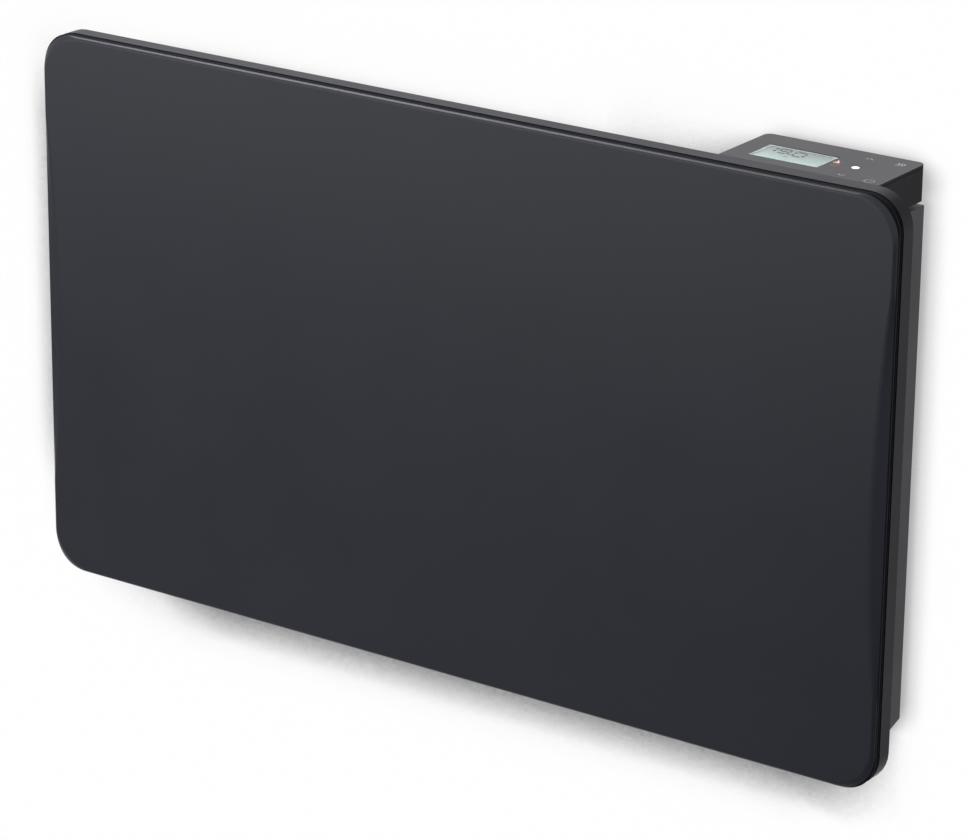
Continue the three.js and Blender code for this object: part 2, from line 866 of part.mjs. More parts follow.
function makeSpreader() {
  const sheet = block(-coreHalf, coreHalf, spreaderY, spreaderY + spreaderDepth, coreBottomZ, coreTopZ);
  add('heat_spreader', sheet, aluminium);
}

function makeInsulation() {
  const sheet = block(
    -coreHalf - insulationOverhang,
    coreHalf + insulationOverhang,
    insulationY,
    insulationY + insulationDepth,
    coreBottomZ,
    coreTopZ,
  );
  add('insulation_board', sheet, mineralWool);
}

// A strap goes round the core's back, under and over it, and is held on the casing by two feet
function makeCoreStraps() {
  const back = strapY + strapWall;
  const gripY = casingBackY - strapGrip / 2;
  const footY = casingBackY + joint;
  const outline = [
    [gripY, coreBottomZ - joint],
    [gripY, coreBottomZ - joint - strapWall],
    [footY, coreBottomZ - joint - strapWall],
    [footY, coreBottomZ - windowMargin - strapFoot],
    [footY + strapWall, coreBottomZ - windowMargin - strapFoot],
    [footY + strapWall, coreBottomZ - joint - strapWall],
    [back, coreBottomZ - joint - strapWall],
    [back, coreTopZ + joint + strapWall],
    [footY + strapWall, coreTopZ + joint + strapWall],
    [footY + strapWall, coreTopZ + windowMargin + strapFoot],
    [footY, coreTopZ + windowMargin + strapFoot],
    [footY, coreTopZ + joint + strapWall],
    [gripY, coreTopZ + joint + strapWall],
    [gripY, coreTopZ + joint],
    [strapY, coreTopZ + joint],
    [strapY, coreBottomZ - joint],
  ];
  for (let i = 0; i < strapCount; i += 1) {
    const x = (i - (strapCount - 1) / 2) * strapSpacing;
    const strap = alongX(polygon(outline), x - strapWidth / 2, x + strapWidth / 2);
    add(`core_strap_${i + 1}`, strap, zincSteel);
  }
}

// Thermal cut-out and the wires

function cutoutPlace() {
  return [coreHalf + cutoutOffset, coreTopZ - coreHeight / elementRuns / 2];
}

function makeThermalCutout() {
  const [x, z] = cutoutPlace();
  const back = casingFloorY - joint;
  const bladeY = back - cutoutDepth / 2;
  const halfBlade = bladeThickness / 2;
  const pieces = [
    rod('y', [x, z], cutoutRadius, back - cutoutDepth, back, 16),
    block(
      x - cutoutRadius - bladeLength,
      x,
      bladeY - halfBlade,
      bladeY + halfBlade,
      z - bladeWidth / 2,
      z + bladeWidth / 2,
    ),
    block(
      x - bladeWidth / 2,
      x + bladeWidth / 2,
      bladeY - halfBlade,
      bladeY + halfBlade,
      z,
      z + cutoutRadius + bladeLength,
    ),
  ];
  add('thermal_cutout', join(pieces), darkSleeve);
}

function makeLead(name, points, finish) {
  const path = new THREE.CatmullRomCurve3(points.map((point) => new THREE.Vector3(...point)));
  path.curveType = 'chordal';
  add(name, tube(path, leadSteps, leadRadius, leadSides), finish);
}

// The last stretch that both long wires share: through the casing's wall to the terminals
function leadTail(x) {
  const endY = terminalY - joint;
  const turn = casingFloorY - elementY;
  return [
    [x, elementY, leadHoleZ - leadBend - turn],
    [x, elementY, leadHoleZ - turn],
    [x, elementY + turn * cornerShare, leadHoleZ - turn * cornerShare],
    [x, casingFloorY, leadHoleZ],
    [x, endY - leadBend / 4, leadHoleZ],
    [x, endY, leadHoleZ],
  ];
}

function makeLeads() {
  const [cutX, cutZ] = cutoutPlace();
  const bladeY = casingFloorY - joint - cutoutDepth / 2;
  const pinEnd = coreHalf + joint + sleeveLength + pinLength;
  const lowZ = coreBottomZ + coreHeight / elementRuns / 2;
  const leftX = leadHoleX - leadSpread / 2;
  const rightX = leadHoleX + leadSpread / 2;
  const sideX = coreHalf + leadSideOffset;

  const bladeTip = cutX - cutoutRadius - bladeLength;
  makeLead('element_link_wire', [
    [pinEnd + joint, elementY, cutZ],
    [(pinEnd + bladeTip) / 2, (elementY + bladeY) / 2, cutZ],
    [bladeTip - joint, bladeY, cutZ],
  ], redSilicone);

  const bladeTop = cutZ + cutoutRadius + bladeLength;
  makeLead('live_wire', [
    [cutX, bladeY, bladeTop + joint],
    [cutX, bladeY, bladeTop + leadBend],
    [leftX, elementY, (bladeTop + leadHoleZ) / 2],
    ...leadTail(leftX),
  ], redSilicone);

  makeLead('neutral_wire', [
    [pinEnd + joint, elementY, lowZ],
    [pinEnd + leadBend, elementY, lowZ],
    [sideX, elementY, lowZ + 2 * leadBend],
    [sideX, elementY, lowZ + 4 * leadBend],
    [sideX, elementY, cutZ],
    [sideX, elementY, cutZ + 2 * leadBend],
    [rightX, elementY, leadHoleZ - 3 * leadBend],
    ...leadTail(rightX),
  ], darkSleeve);
}

// Control unit

function moduleOutline(inset) {
  const backRadius = moduleCorner - inset;
  return roundedRectangle(
    moduleLeft + inset,
    moduleRight - inset,
    housingFrontY + inset,
    housingBackY - inset,
    [0, 0, backRadius, backRadius],
  );
}

function touchPostPlaces() {
  const left = moduleLeft + postBaseInset;
  const right = moduleRight - postBaseInset;
  const front = housingFrontY + postBaseInset;
  const back = housingBackY - postBaseInset;
  return [[left, front], [right, front], [left, back], [right, back]];
}

function powerBoardFeet() {
  const left = powerBoardX + standoffInset;
  const right = powerBoardX + powerBoardWidth - standoffInset;
  const front = powerBoardY + standoffInset;
  const back = powerBoardY + powerBoardLength - standoffInset;
  return [[left, front], [right, front], [left, back], [right, back]];
}

function makeControlHousing() {
  const rimZ = fasciaBottomZ - joint;
  const shell = alongZ(moduleOutline(0), moduleBottomZ, rimZ);
  const room = alongZ(moduleOutline(moduleWall), moduleFloorZ, rimZ + overrun);
  const sink = moduleWall / 2;
  const posts = touchPostPlaces().map((place) => (
    rod('z', place, postBaseRadius, moduleFloorZ - sink, touchBoardZ - joint, 10)
  ));
  const feet = powerBoardFeet().map((place) => (
    rod('z', place, standoffRadius, moduleFloorZ - sink, moduleFloorZ + standoffHeight, 10)
  ));
  const frontWallY = housingFrontY + moduleWall;
  const bosses = boresAlongY(
    moduleScrewPlaces(),
    moduleBossRadius,
    frontWallY - sink,
    frontWallY + moduleBossLength,
    12,
  );
  const bores = boresAlongY(
    moduleScrewPlaces(),
    screwRadius + screwClearance,
    housingFrontY - overrun,
    frontWallY + moduleBossLength + overrun,
  );
  const leadHole = rod('y', [leadHoleX, leadHoleZ], leadHoleRadius, housingFrontY - overrun, frontWallY + overrun, 16);
  const switchHole = block(
    moduleLeft - overrun,
    moduleLeft + moduleWall + overrun,
    switchY - switchWidth / 2 - joint,
    switchY + switchWidth / 2 + joint,
    switchLowZ - joint,
    switchHighZ + joint,
  );
  const vents = Array.from({ length: ventCount }, (unused, i) => {
    const x = moduleRight - ventInset - i * ventPitch;
    const y = housingBackY - ventInset;
    return block(x - ventWidth, x, y - ventLength, y, moduleBottomZ - overrun, moduleFloorZ + overrun);
  });
  const tray = join([cut(shell, [room]), ...posts, ...feet, ...bosses]);
  add('control_housing', cut(tray, [...bores, leadHole, switchHole, ...vents]), darkPlastic);
}

function windowOutline(inset) {
  return roundedRectangle(
    windowLeft + inset,
    windowRight - inset,
    windowFrontY + inset,
    windowBackY - inset,
    Math.max(windowCorner - inset, 0),
  );
}

function makeFascia() {
  const plate = alongZ(moduleOutline(0), fasciaBottomZ, topZ);
  const recess = alongZ(windowOutline(-joint), topZ - windowDepth - joint, topZ + overrun, coarseArc);
  const opening = alongZ(windowOutline(windowLedge), fasciaBottomZ - overrun, topZ + overrun);
  add('control_fascia', cut(plate, [recess, opening]), darkPlastic);
}

function makeDisplay() {
  add('display_window', alongZ(windowOutline(0), topZ - windowDepth, topZ, coarseArc), clearLens);
  const behind = windowOutline(windowLedge + joint);
  add('lcd_panel', alongZ(behind, lcdZ, lcdZ + lcdDepth), lcdGrey);
  add('display_backlight', alongZ(behind, backlightZ, backlightZ + backlightDepth), whitePlastic);
}

function makeTouchBoard() {
  const inset = moduleWall + touchBoardInset;
  const board = block(
    moduleLeft + inset,
    moduleRight - inset,
    housingFrontY + inset,
    housingBackY - inset,
    touchBoardZ,
    touchBoardZ + boardDepth,
  );
  add('touch_board', board, boardGreen);
  const nearX = moduleRight - keyColumnInsets.near;
  const farX = moduleRight - keyColumnInsets.far;
  const backY = housingBackY - keyBackInset;
  const frontY = housingFrontY + keyFrontInset;
  const keys = {
    up: [nearX, backY],
    centre: [nearX, (windowFrontY + windowBackY) / 2 + keyMiddleShift],
    down: [nearX, frontY],
    boost: [farX, backY],
    power: [farX, frontY],
  };
  const low = touchBoardZ + boardDepth + joint;
  for (const [key, place] of Object.entries(keys)) {
    add(`touch_pad_${key}`, rod('z', place, touchPadRadius, low, fasciaBottomZ - joint, 12), blackRubber);
  }
}

function onBoard([acrossShare, alongShare]) {
  return [powerBoardX + powerBoardWidth * acrossShare, powerBoardY + powerBoardLength * alongShare];
}

function componentBox([x, y], { width, length }, topZ) {
  return block(x - width / 2, x + width / 2, y - length / 2, y + length / 2, componentZ, topZ);
}

function makePowerBoard() {
  const board = block(
    powerBoardX,
    powerBoardX + powerBoardWidth,
    powerBoardY,
    powerBoardY + powerBoardLength,
    powerBoardZ,
    powerBoardZ + boardDepth,
  );
  add('power_board', board, boardGreen);
  add('heating_relay', componentBox(onBoard(relayShares), relaySize, componentTopZ), relayBlue);
  const transformer = componentBox(onBoard(transformerShares), transformerSize, componentTopZ);
  add('power_transformer', transformer, darkSleeve);

  const terminalBack = terminalY + terminalSize.length;
  const terminals = componentBox([leadHoleX, (terminalY + terminalBack) / 2], terminalSize, terminalTopZ);
  const wayPitch = terminalSize.width / terminalWays;
  const wayZ = componentZ + (terminalTopZ - componentZ) / 4;
  const ways = Array.from({ length: terminalWays }, (unused, i) => {
    const x = leadHoleX + wayPitch * (i - (terminalWays - 1) / 2);
    return rod('y', [x, wayZ], wayRadius, terminalBack - wayDepth, terminalBack + overrun, 8);
  });
  add('terminal_block', cut(terminals, ways), whitePlastic);

  const [canX, canY] = onBoard(capacitorShares);
  const halfCan = capacitorLength / 2;
  const canPlace = [canY, componentZ + capacitorRadius];
  const can = rod('x', canPlace, capacitorRadius, canX - halfCan, canX + halfCan, 14);
  add('smoothing_capacitor', can, darkSleeve);

  const [fuseCentreX, fuseY] = onBoard(fuseShares);
  const fuseX = fuseCentreX - fuseLength / 2;
  const fuseZ = componentZ + fuseRadius + joint;
  const holder = [
    rod('x', [fuseY, fuseZ], fuseRadius - joint, fuseX, fuseX + fuseLength, 10),
    block(fuseX, fuseX + fuseCap, fuseY - fuseRadius, fuseY + fuseRadius, componentZ, fuseZ + fuseRadius),
    block(
      fuseX + fuseLength - fuseCap,
      fuseX + fuseLength,
      fuseY - fuseRadius,
      fuseY + fuseRadius,
      componentZ,
      fuseZ + fuseRadius,
    ),
  ];
  add('fuse', join(holder), whitePlastic);

  const sensorX = moduleRight - moduleWall - sensorInset;
  const sensorY = housingBackY - moduleWall - ventInset;
  const sensor = rod('z', [sensorX, sensorY], sensorRadius, moduleFloorZ + joint, moduleFloorZ + sensorHeight, 12);
  add('room_sensor', sensor, darkSleeve);
}

function makeModuleScrews() {
  moduleScrewPlaces().forEach((place, i) => {
    const screw = screwGeometry(place, casingFloorY, 1);
    add(`control_screw_${i + 1}`, screw, zincSteel);
  });
}

// Mains switch

// The rocker turns about a vertical pin, and is stored pressed in at its front end
function makeMainsSwitch() {
  const pivotX = moduleLeft;
  const half = switchWidth / 2 - rockerEndFrame;
  const keel = half * rockerKeelShare;
  const outline = polygon([
    [-half, -rockerFaceRise],
    [-half, 0],
    [-keel, rockerKeel],
    [keel, rockerKeel],
    [half, 0],
    [half, -rockerFaceRise],
    [0, -rockerFaceDip],
  ]);
  const halfHeight = (switchHighZ - switchLowZ) / 2 - rockerSideFrame;
  const swap = new THREE.Matrix4().makeBasis(axisY, axisX.clone(), axisZ.clone().negate());
  const button = extrude(outline, 2 * halfHeight, 1).applyMatrix4(swap).translate(0, 0, halfHeight);
  const pin = rod('z', [0, 0], trunnionRadius, -halfHeight - trunnionLength, halfHeight + trunnionLength, 10);
  const rocker = join([button, pin]).rotateZ(THREE.MathUtils.degToRad(rockerTilt));
  add('power_rocker', rocker.translate(pivotX, switchY, switchZ), blackRubber);

  const body = block(
    moduleLeft,
    moduleLeft + switchBodyDepth,
    switchY - switchWidth / 2,
    switchY + switchWidth / 2,
    switchLowZ,
    switchHighZ,
  );
  const flange = block(
    moduleLeft - joint - switchFlangeDepth,
    moduleLeft - joint,
    switchY - switchWidth / 2 - switchFlange,
    switchY + switchWidth / 2 + switchFlange,
    switchLowZ - switchFlange,
    switchHighZ + switchFlange,
  );
  const neck = block(
    moduleLeft - joint - switchFlangeDepth / 2,
    moduleLeft + moduleWall,
    switchY - switchWidth / 2,
    switchY + switchWidth / 2,
    switchLowZ,
    switchHighZ,
  );
  const room = block(
    moduleLeft - joint - switchFlangeDepth - overrun,
    moduleLeft + rockerKeel + rockerRoom,
    switchY - half - rockerRoom,
    switchY + half + rockerRoom,
    switchZ - halfHeight - rockerClearance,
    switchZ + halfHeight + rockerClearance,
  );
  const seatRadius = trunnionRadius + joint;
  const seatReach = halfHeight + trunnionLength + rockerClearance;
  const seat = rod('z', [moduleLeft, switchY], seatRadius, switchZ - seatReach, switchZ + seatReach, 12);
  const blades = [-1, 1].map((side) => block(
    moduleLeft + switchBodyDepth - switchBladeThickness,
    moduleLeft + switchBodyDepth + switchBladeLength,
    switchY + side * switchWidth / 4 - switchBladeThickness / 2,
    switchY + side * switchWidth / 4 + switchBladeThickness / 2,
    switchZ - switchBladeWidth / 2,
    switchZ + switchBladeWidth / 2,
  ));
  add('switch_body', cut(join([body, flange, neck, ...blades]), [room, seat]), darkSleeve);
}

// Wall bracket

function lockTongueZ() {
  return railTop - railWall - joint - lockTongueDepth;
}

function makeRail(side, name) {
  const centreX = side * railHalf;
  const web = block(centreX - railWidth / 2, centreX + railWidth / 2, -railWall, 0, railBottom, railTop);
  const flangeTip = housingBackY + 1.5 * joint;
  const throatY = housingBackY - housingWall - hookThroat;
  const noseY = throatY - (hookReach - hookThroat);
  const points = [[0, railBottom], [flangeTip, railBottom]];
  for (const z of [...hookHeights].sort((a, b) => a - b)) {
    points.push(
      [flangeTip, z - hookArm],
      [noseY, z - hookArm],
      [noseY, z + hookNose],
      [throatY, z + hookNose],
      [throatY, z],
      [flangeTip, z],
    );
  }
  points.push([flangeTip, railTop - railWall * 2], [flangeTip, railTop], [0, railTop]);
  const inner = centreX - side * (railWidth / 2);
  const innerFace = centreX - side * (railWidth / 2 - railWall);
  const flange = alongX(polygon(points), Math.min(inner, innerFace), Math.max(inner, innerFace));
  const shelf = block(
    centreX - railWidth / 2,
    centreX + railWidth / 2,
    flangeTip,
    0,
    railTop - railWall,
    railTop,
  );
  const slots = screwSlotHeights.map((z) => alongY(roundedRectangle(
    centreX + side * screwSlotShift - screwSlotWidth / 2,
    centreX + side * screwSlotShift + screwSlotWidth / 2,
    z - screwSlotLength / 2,
    z + screwSlotLength / 2,
    screwSlotWidth / 2,
  ), -railWall - overrun, overrun, coarseArc));
  const lockBore = rod(
    'z',
    [centreX, lockY],
    lockRadius + lockPlay,
    railTop - railWall - overrun,
    railTop + overrun,
    16,
  );
  add(`wall_rail_${name}`, cut(join([web, flange, shelf]), [...slots, lockBore]), zincSteel);
}

function makeCrossbar(name, z) {
  const low = z - barHeight / 2;
  const high = z + barHeight / 2;
  const reach = railHalf - railWidth / 2 - joint;
  const outline = polygon([
    [0, low],
    [0, high],
    [-barDepth, high],
    [-barDepth, high - railWall],
    [-railWall, high - railWall],
    [-railWall, low + railWall],
    [-barDepth, low + railWall],
    [-barDepth, low],
  ]);
  add(name, alongX(outline, -reach, reach), zincSteel);
}

// A quarter-turn lock: a slotted head on the rail's shelf, a shank through it and a tongue under it
function makeLock(side, name) {
  const tongueZ = lockTongueZ();
  const headZ = railTop + joint;
  const halfTongue = lockTongueWidth / 2;
  const tongueShape = new THREE.Shape();
  tongueShape.moveTo(-halfTongue, 0);
  tongueShape.absarc(0, 0, halfTongue, 2 * quarter, 0, true);
  tongueShape.lineTo(halfTongue, -lockTongueLength + halfTongue / 2);
  tongueShape.lineTo(halfTongue / 2, -lockTongueLength);
  tongueShape.lineTo(-halfTongue / 2, -lockTongueLength);
  tongueShape.lineTo(-halfTongue, -lockTongueLength + halfTongue / 2);
  const pieces = [
    alongZ(tongueShape, tongueZ, tongueZ + lockTongueDepth),
    rod('z', [0, 0], lockRadius, tongueZ, headZ + lockHeadDepth, 16),
    rod('z', [0, 0], lockHeadRadius, headZ, headZ + lockHeadDepth, 16),
  ];
  const driverSlot = block(
    -lockHeadRadius - overrun,
    lockHeadRadius + overrun,
    -lockSlotWidth / 2,
    lockSlotWidth / 2,
    headZ + lockHeadDepth - lockSlotDepth,
    headZ + lockHeadDepth + overrun,
  );
  const lock = cut(join(pieces), [driverSlot]).translate(side * railHalf, lockY, 0);
  add(`wall_lock_${name}`, lock, zincSteel);
}

function makeWallBracket() {
  makeCrossbar('wall_crossbar_upper', railTop - upperBarDrop);
  makeCrossbar('wall_crossbar_lower', railBottom + lowerBarRise);
  for (const [side, name] of [[-1, 'left'], [1, 'right']]) {
    makeRail(side, name);
    makeLock(side, name);
  }
}

const elementPath = new SerpentinePath();
makeFrontPanel();
makePanelSeal();
makePanelPosts();
makeCasing();
makeRearHousing();
makeGrommet();
makeWallPads();
makeHousingScrews();
makeHeatingElement(elementPath);
makeBricks(elementPath);
makeSpreader();
makeInsulation();
makeCoreStraps();
makeThermalCutout();
makeLeads();
makeControlHousing();
makeFascia();
makeDisplay();
makeTouchBoard();
makePowerBoard();
makeModuleScrews();
makeMainsSwitch();
makeWallBracket();

export default radiator;
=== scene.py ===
import json
import math

import bmesh
import bpy
from mathutils import Matrix, Vector


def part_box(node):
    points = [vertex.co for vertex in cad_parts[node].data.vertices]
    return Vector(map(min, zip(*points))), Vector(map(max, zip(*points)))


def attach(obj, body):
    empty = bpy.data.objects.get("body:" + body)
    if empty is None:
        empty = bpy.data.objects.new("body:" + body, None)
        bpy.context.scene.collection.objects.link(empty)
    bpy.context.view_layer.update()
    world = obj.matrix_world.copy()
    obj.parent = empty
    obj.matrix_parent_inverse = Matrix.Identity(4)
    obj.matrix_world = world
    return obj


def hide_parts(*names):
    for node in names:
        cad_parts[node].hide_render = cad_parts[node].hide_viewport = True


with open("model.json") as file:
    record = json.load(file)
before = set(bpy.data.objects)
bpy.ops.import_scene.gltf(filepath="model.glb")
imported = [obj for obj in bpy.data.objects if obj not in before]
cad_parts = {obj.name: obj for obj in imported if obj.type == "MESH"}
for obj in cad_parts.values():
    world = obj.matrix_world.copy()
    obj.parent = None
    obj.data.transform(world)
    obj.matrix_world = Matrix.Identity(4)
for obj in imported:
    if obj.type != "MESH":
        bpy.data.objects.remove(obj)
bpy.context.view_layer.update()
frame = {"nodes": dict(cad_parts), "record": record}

nodes = frame["nodes"]
bodies = frame["record"]["behaviour"]["bodies"]
body_of = {node: body for body, members in bodies.items() for node in members}
MM = 0.001

# Front panel, in metres: the same sizes as the solid's
panel_lo, panel_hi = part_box("front_panel")
HALF_WIDTH = (panel_hi.x - panel_lo.x) / 2
BOTTOM_Z = panel_lo.z
TOP_Z = panel_hi.z
FRONT_Y = panel_lo.y
BACK_Y = panel_hi.y
PANEL_DEPTH = BACK_Y - FRONT_Y
CORNER_RADIUS = 30 * MM
CORNER_EASE = 10 * MM
PANEL_EDGE = 4 * MM
BACK_EDGE = PANEL_DEPTH - PANEL_EDGE
PANEL_WALL = 3 * MM
RIM_WIDTH = 8 * MM
SCOOP_DEPTH = 12.7 * MM
SCOOP_BOTTOM = 76 * MM
SCOOP_DEEPEST = 240 * MM
SCOOP_TOP = 430 * MM
SCOOP_FLATNESS = 0.8
FACE_INSET = 0.25 * MM

# How softly the front face rolls over into a flank, and how deep the flank meets the rounded edge
CREASE_BLEND = 2.4 * MM
FLANK_END = 2.4 * MM
FLANK_BLEND = 0.4 * MM

# There is a flank where the scoop is over this many times the inset at which the flank ends
FLANK_START = 1.5

# Steps of the panel's rings: over the front, round the edge, round the back, per corner, per side
FRONT_STEPS = 18
EDGE_STEPS = 3
BACK_STEPS = 7
CORNER_STEPS = 20
SIDE_STEPS = 100

# Seal in the shadow gap: how far its lip stays inside the panel's crown, and its form
SEAL_LIP = 0.6 * MM
SEAL_CHAMFER = 0.5 * MM
SEAL_BAND = 3 * MM

# Display, keys and their symbols on the fascia
fascia_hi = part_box("control_fascia")[1]
window_lo, window_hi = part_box("display_window")
lcd_lo, lcd_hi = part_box("lcd_panel")
FASCIA_BEVEL = 0.3 * MM
FASCIA_SINK = 0.04 * MM
SYMBOL_DEPTH = 0.25 * MM
DIGIT_LOW = 0.005 * MM
DIGIT_HIGH = 0.05 * MM
BORDER_LOW = 0.12 * MM
BORDER_HIGH = 0.04 * MM
LCD_GLOW = 0.25

# The border round the display, in millimetres
BORDER_WIDTH = 2.5

# Digits: lower left corner, width, height and thickness of the strokes, in millimetres
DIGITS = (
    ("1", 269.8, -55.2, 8.2, 11.0, 2.3),
    ("9", 281.4, -55.6, 9.0, 11.2, 2.3),
    ("0", 295.6, -57.0, 9.4, 11.2, 2.4),
)
POINT = (293.0, -55.6, 1.0)
DEGREE_MARK = (293.6, -62.4, 1.1, 0.6)

# Segments of the digits that are shown: a to f clockwise from the top, and g in the middle
DIGIT_SEGMENTS = {"0": "abcdef", "1": "bc", "9": "abcdfg"}

# Symbols on the fascia: centres, radii and stroke widths in X and Y, in millimetres
CHEVRONS = ((352.3, -30.2, 3.2, 2.4, 1.2), (355.6, -81.6, 3.2, -2.4, 1.2))
WAVE_STARTS = (377.2, 379.8, 382.4)
WAVE_STROKES = ((-1.2, -33.6, 0.9, -29.6), (0.9, -29.8, -0.9, -25.8))
WAVE_WIDTH = 1.3
POWER_RING = (381.7, -83.4, 4.0, 1.4, 120, 420)
POWER_BAR = (381.7, -83.0, 381.7, -78.0, 1.2)
CENTRE_KEY = (354.8, -57.8, 3.2)
FLAME_STROKES = (
    (333.4, -55.6, 336.0, -52.0, 1.3),
    (336.0, -52.2, 334.4, -48.6, 1.2),
    (336.2, -55.6, 338.2, -52.6, 1.2),
)
HEATING_RING = (338.4, -61.2, 3.0, 1.2)
HEATING_DOT = (338.4, -61.2, 1.2)

# Steps of the circles: centre key, power ring, heating ring, heating dot, marks on the display
ROUND_STEPS = 40
RING_STEPS = 36
GLOW_STEPS = 30
DOT_STEPS = 20
MARK_STEPS = 16

# Smoothing and edges: angles in degrees
FLAT_ANGLE = 0.6
BEVEL_ANGLE = 32.0
PANEL_ANGLE = 32.0
DRESSED_ANGLE = 38.0
SEAL_ANGLE = 50.0
BEVEL_SEGMENTS = 2
NORMAL_WEIGHT = 60
SAME_PLACE = 1e-6

# How far a face looks up, from 0 to 1: the fascia's top, below which its faces take the darker
# plastic as painted shade, and where the painted light on the casing's paler top fades in
UPWARD = 0.8
TOP_LIGHT_FADE = (0.8, 0.99)

# Where most values of a noise texture lie
NOISE_LOW = 0.3
NOISE_HIGH = 0.7

# Camera, from the fit of the photograph
EYE = (1.9112, -2.8431, 1.0378)
VIEW = (-0.5307, 0.7761, -0.3406)
UP = (-0.2016, 0.2747, 0.9402)
FOCAL_LENGTH = 156.98
SENSOR_WIDTH = 36.0

# Stage
WALL_Y = 0.5 * MM
FLOOR_Z = -1.1
STAGE_REACH = 4.0
AMBIENT = 0.16
WORLD_COLOUR = (0.99, 0.99, 1.0, 1.0)
WALL_COLOUR = (1.0, 0.995, 1.0, 1.0)
FLOOR_TONES = ((0.78, 0.78, 0.79, 1.0), (0.82, 0.82, 0.83, 1.0))

# Soft shadows on the wall: reach, aim, how open is darkest, how open is white, darkest factor
WALL_SHADOWS = (
    (0.028, (0.3, -0.7, 0.7), 0.69, 0.96, 0.5),
    (0.13, (0.35, 0.25, 0.9), 0.76, 0.87, 0.12),
    (0.165, (0.85, 0.35, 0.4), 0.81, 0.905, 0.15),
)
SHADOW_SAMPLES = 40

# Lamps: name, place, target, width, height, watts
LAMPS = (
    ("key", (-1.4, -0.75, 2.0), (0.0, -0.1, -0.05), 1.6, 0.8, 40.0),
    ("card", (-1.6, -2.2, 0.1), (-1.6, 0.0, 0.1), 2.5, 1.8, 19.0),
    ("rear", (0.0, 1.8, -0.15), (0.0, 0.0, -0.15), 1.4, 0.4, 9.0),
)


# Small helpers
def linear(red, green, blue):
    """An sRGB colour from 0 to 255 as linear values."""
    def one(value):
        value = value / 255
        return value / 12.92 if value <= 0.04045 else ((value + 0.055) / 1.055) ** 2.4
    return (one(red), one(green), one(blue), 1.0)


def link_object(name, data):
    piece = bpy.data.objects.new(name, data)
    bpy.context.scene.collection.objects.link(piece)
    return piece


def mesh_object(name, points, faces):
    mesh = bpy.data.meshes.new(name)
    mesh.from_pydata(points, [], faces)
    mesh.validate()
    mesh.update()
    return link_object(name, mesh)


def apply_modifiers(piece):
    bpy.context.view_layer.update()
    graph = bpy.context.evaluated_depsgraph_get()
    made = bpy.data.meshes.new_from_object(piece.evaluated_get(graph))
    old = piece.data
    piece.modifiers.clear()
    piece.data = made
    bpy.data.meshes.remove(old)


def smooth(piece, degrees):
    piece.data.shade_smooth()
    piece.data.set_sharp_from_angle(angle=math.radians(degrees))


def set_material(piece, material):
    piece.data.materials.clear()
    piece.data.materials.append(material)


# Materials
def start_material(name):
    material = bpy.data.materials.new(name)
    material.use_nodes = True
    tree = material.node_tree
    shader = tree.nodes["Principled BSDF"]
    return material, tree, shader


def noise(tree, scale, detail=3.0, roughness=0.55, stretch=None):
    place = tree.nodes.new("ShaderNodeTexCoord")
    texture = tree.nodes.new("ShaderNodeTexNoise")
    texture.inputs["Scale"].default_value = scale
    texture.inputs["Detail"].default_value = detail
    texture.inputs["Roughness"].default_value = roughness
    source = place.outputs["Object"]
    if stretch:
        mapping = tree.nodes.new("ShaderNodeMapping")
        mapping.inputs["Scale"].default_value = stretch
        tree.links.new(source, mapping.inputs["Vector"])
        source = mapping.outputs["Vector"]
    tree.links.new(source, texture.inputs["Vector"])
    return texture.outputs["Fac"]


def map_range(tree, source, low, high, from_low=NOISE_LOW, from_high=NOISE_HIGH):
    node = tree.nodes.new("ShaderNodeMapRange")
    node.inputs["From Min"].default_value = from_low
    node.inputs["From Max"].default_value = from_high
    node.inputs["To Min"].default_value = low
    node.inputs["To Max"].default_value = high
    tree.links.new(source, node.inputs["Value"])
    return node.outputs["Result"]


def bump(tree, shader, source, distance):
    node = tree.nodes.new("ShaderNodeBump")
    node.inputs["Strength"].default_value = 1.0
    node.inputs["Distance"].default_value = distance
    tree.links.new(source, node.inputs["Height"])
    tree.links.new(node.outputs["Normal"], shader.inputs["Normal"])


def blend_colours(tree, source, first, second):
    node = tree.nodes.new("ShaderNodeMix")
    node.data_type = "RGBA"
    node.inputs["A"].default_value = first
    node.inputs["B"].default_value = second
    tree.links.new(source, node.inputs["Factor"])
    return node.outputs["Result"]


def shade(colour, factor):
    return (colour[0] * factor, colour[1] * factor, colour[2] * factor, 1.0)


def finish(name, colour, roughness, metallic=0.0, specular=0.5, spread=0.06, mottle=0.06,
           grain=500.0, depth=0.00002, broad=9.0, stretch=None):
    """A surface with a fine grain in its relief and broad, faint changes of colour and gloss."""
    material, tree, shader = start_material(name)
    shader.inputs["Metallic"].default_value = metallic
    shader.inputs["Specular IOR Level"].default_value = specular
    cloud = noise(tree, broad, detail=4.0, roughness=0.6)
    tone = blend_colours(tree, cloud, shade(colour, 1 - mottle), shade(colour, 1 + mottle))
    tree.links.new(tone, shader.inputs["Base Color"])
    fine = noise(tree, grain, detail=2.0, roughness=0.5, stretch=stretch)
    gloss = map_range(tree, cloud, roughness - spread, roughness + spread)
    tree.links.new(gloss, shader.inputs["Roughness"])
    bump(tree, shader, fine, depth)
    return material


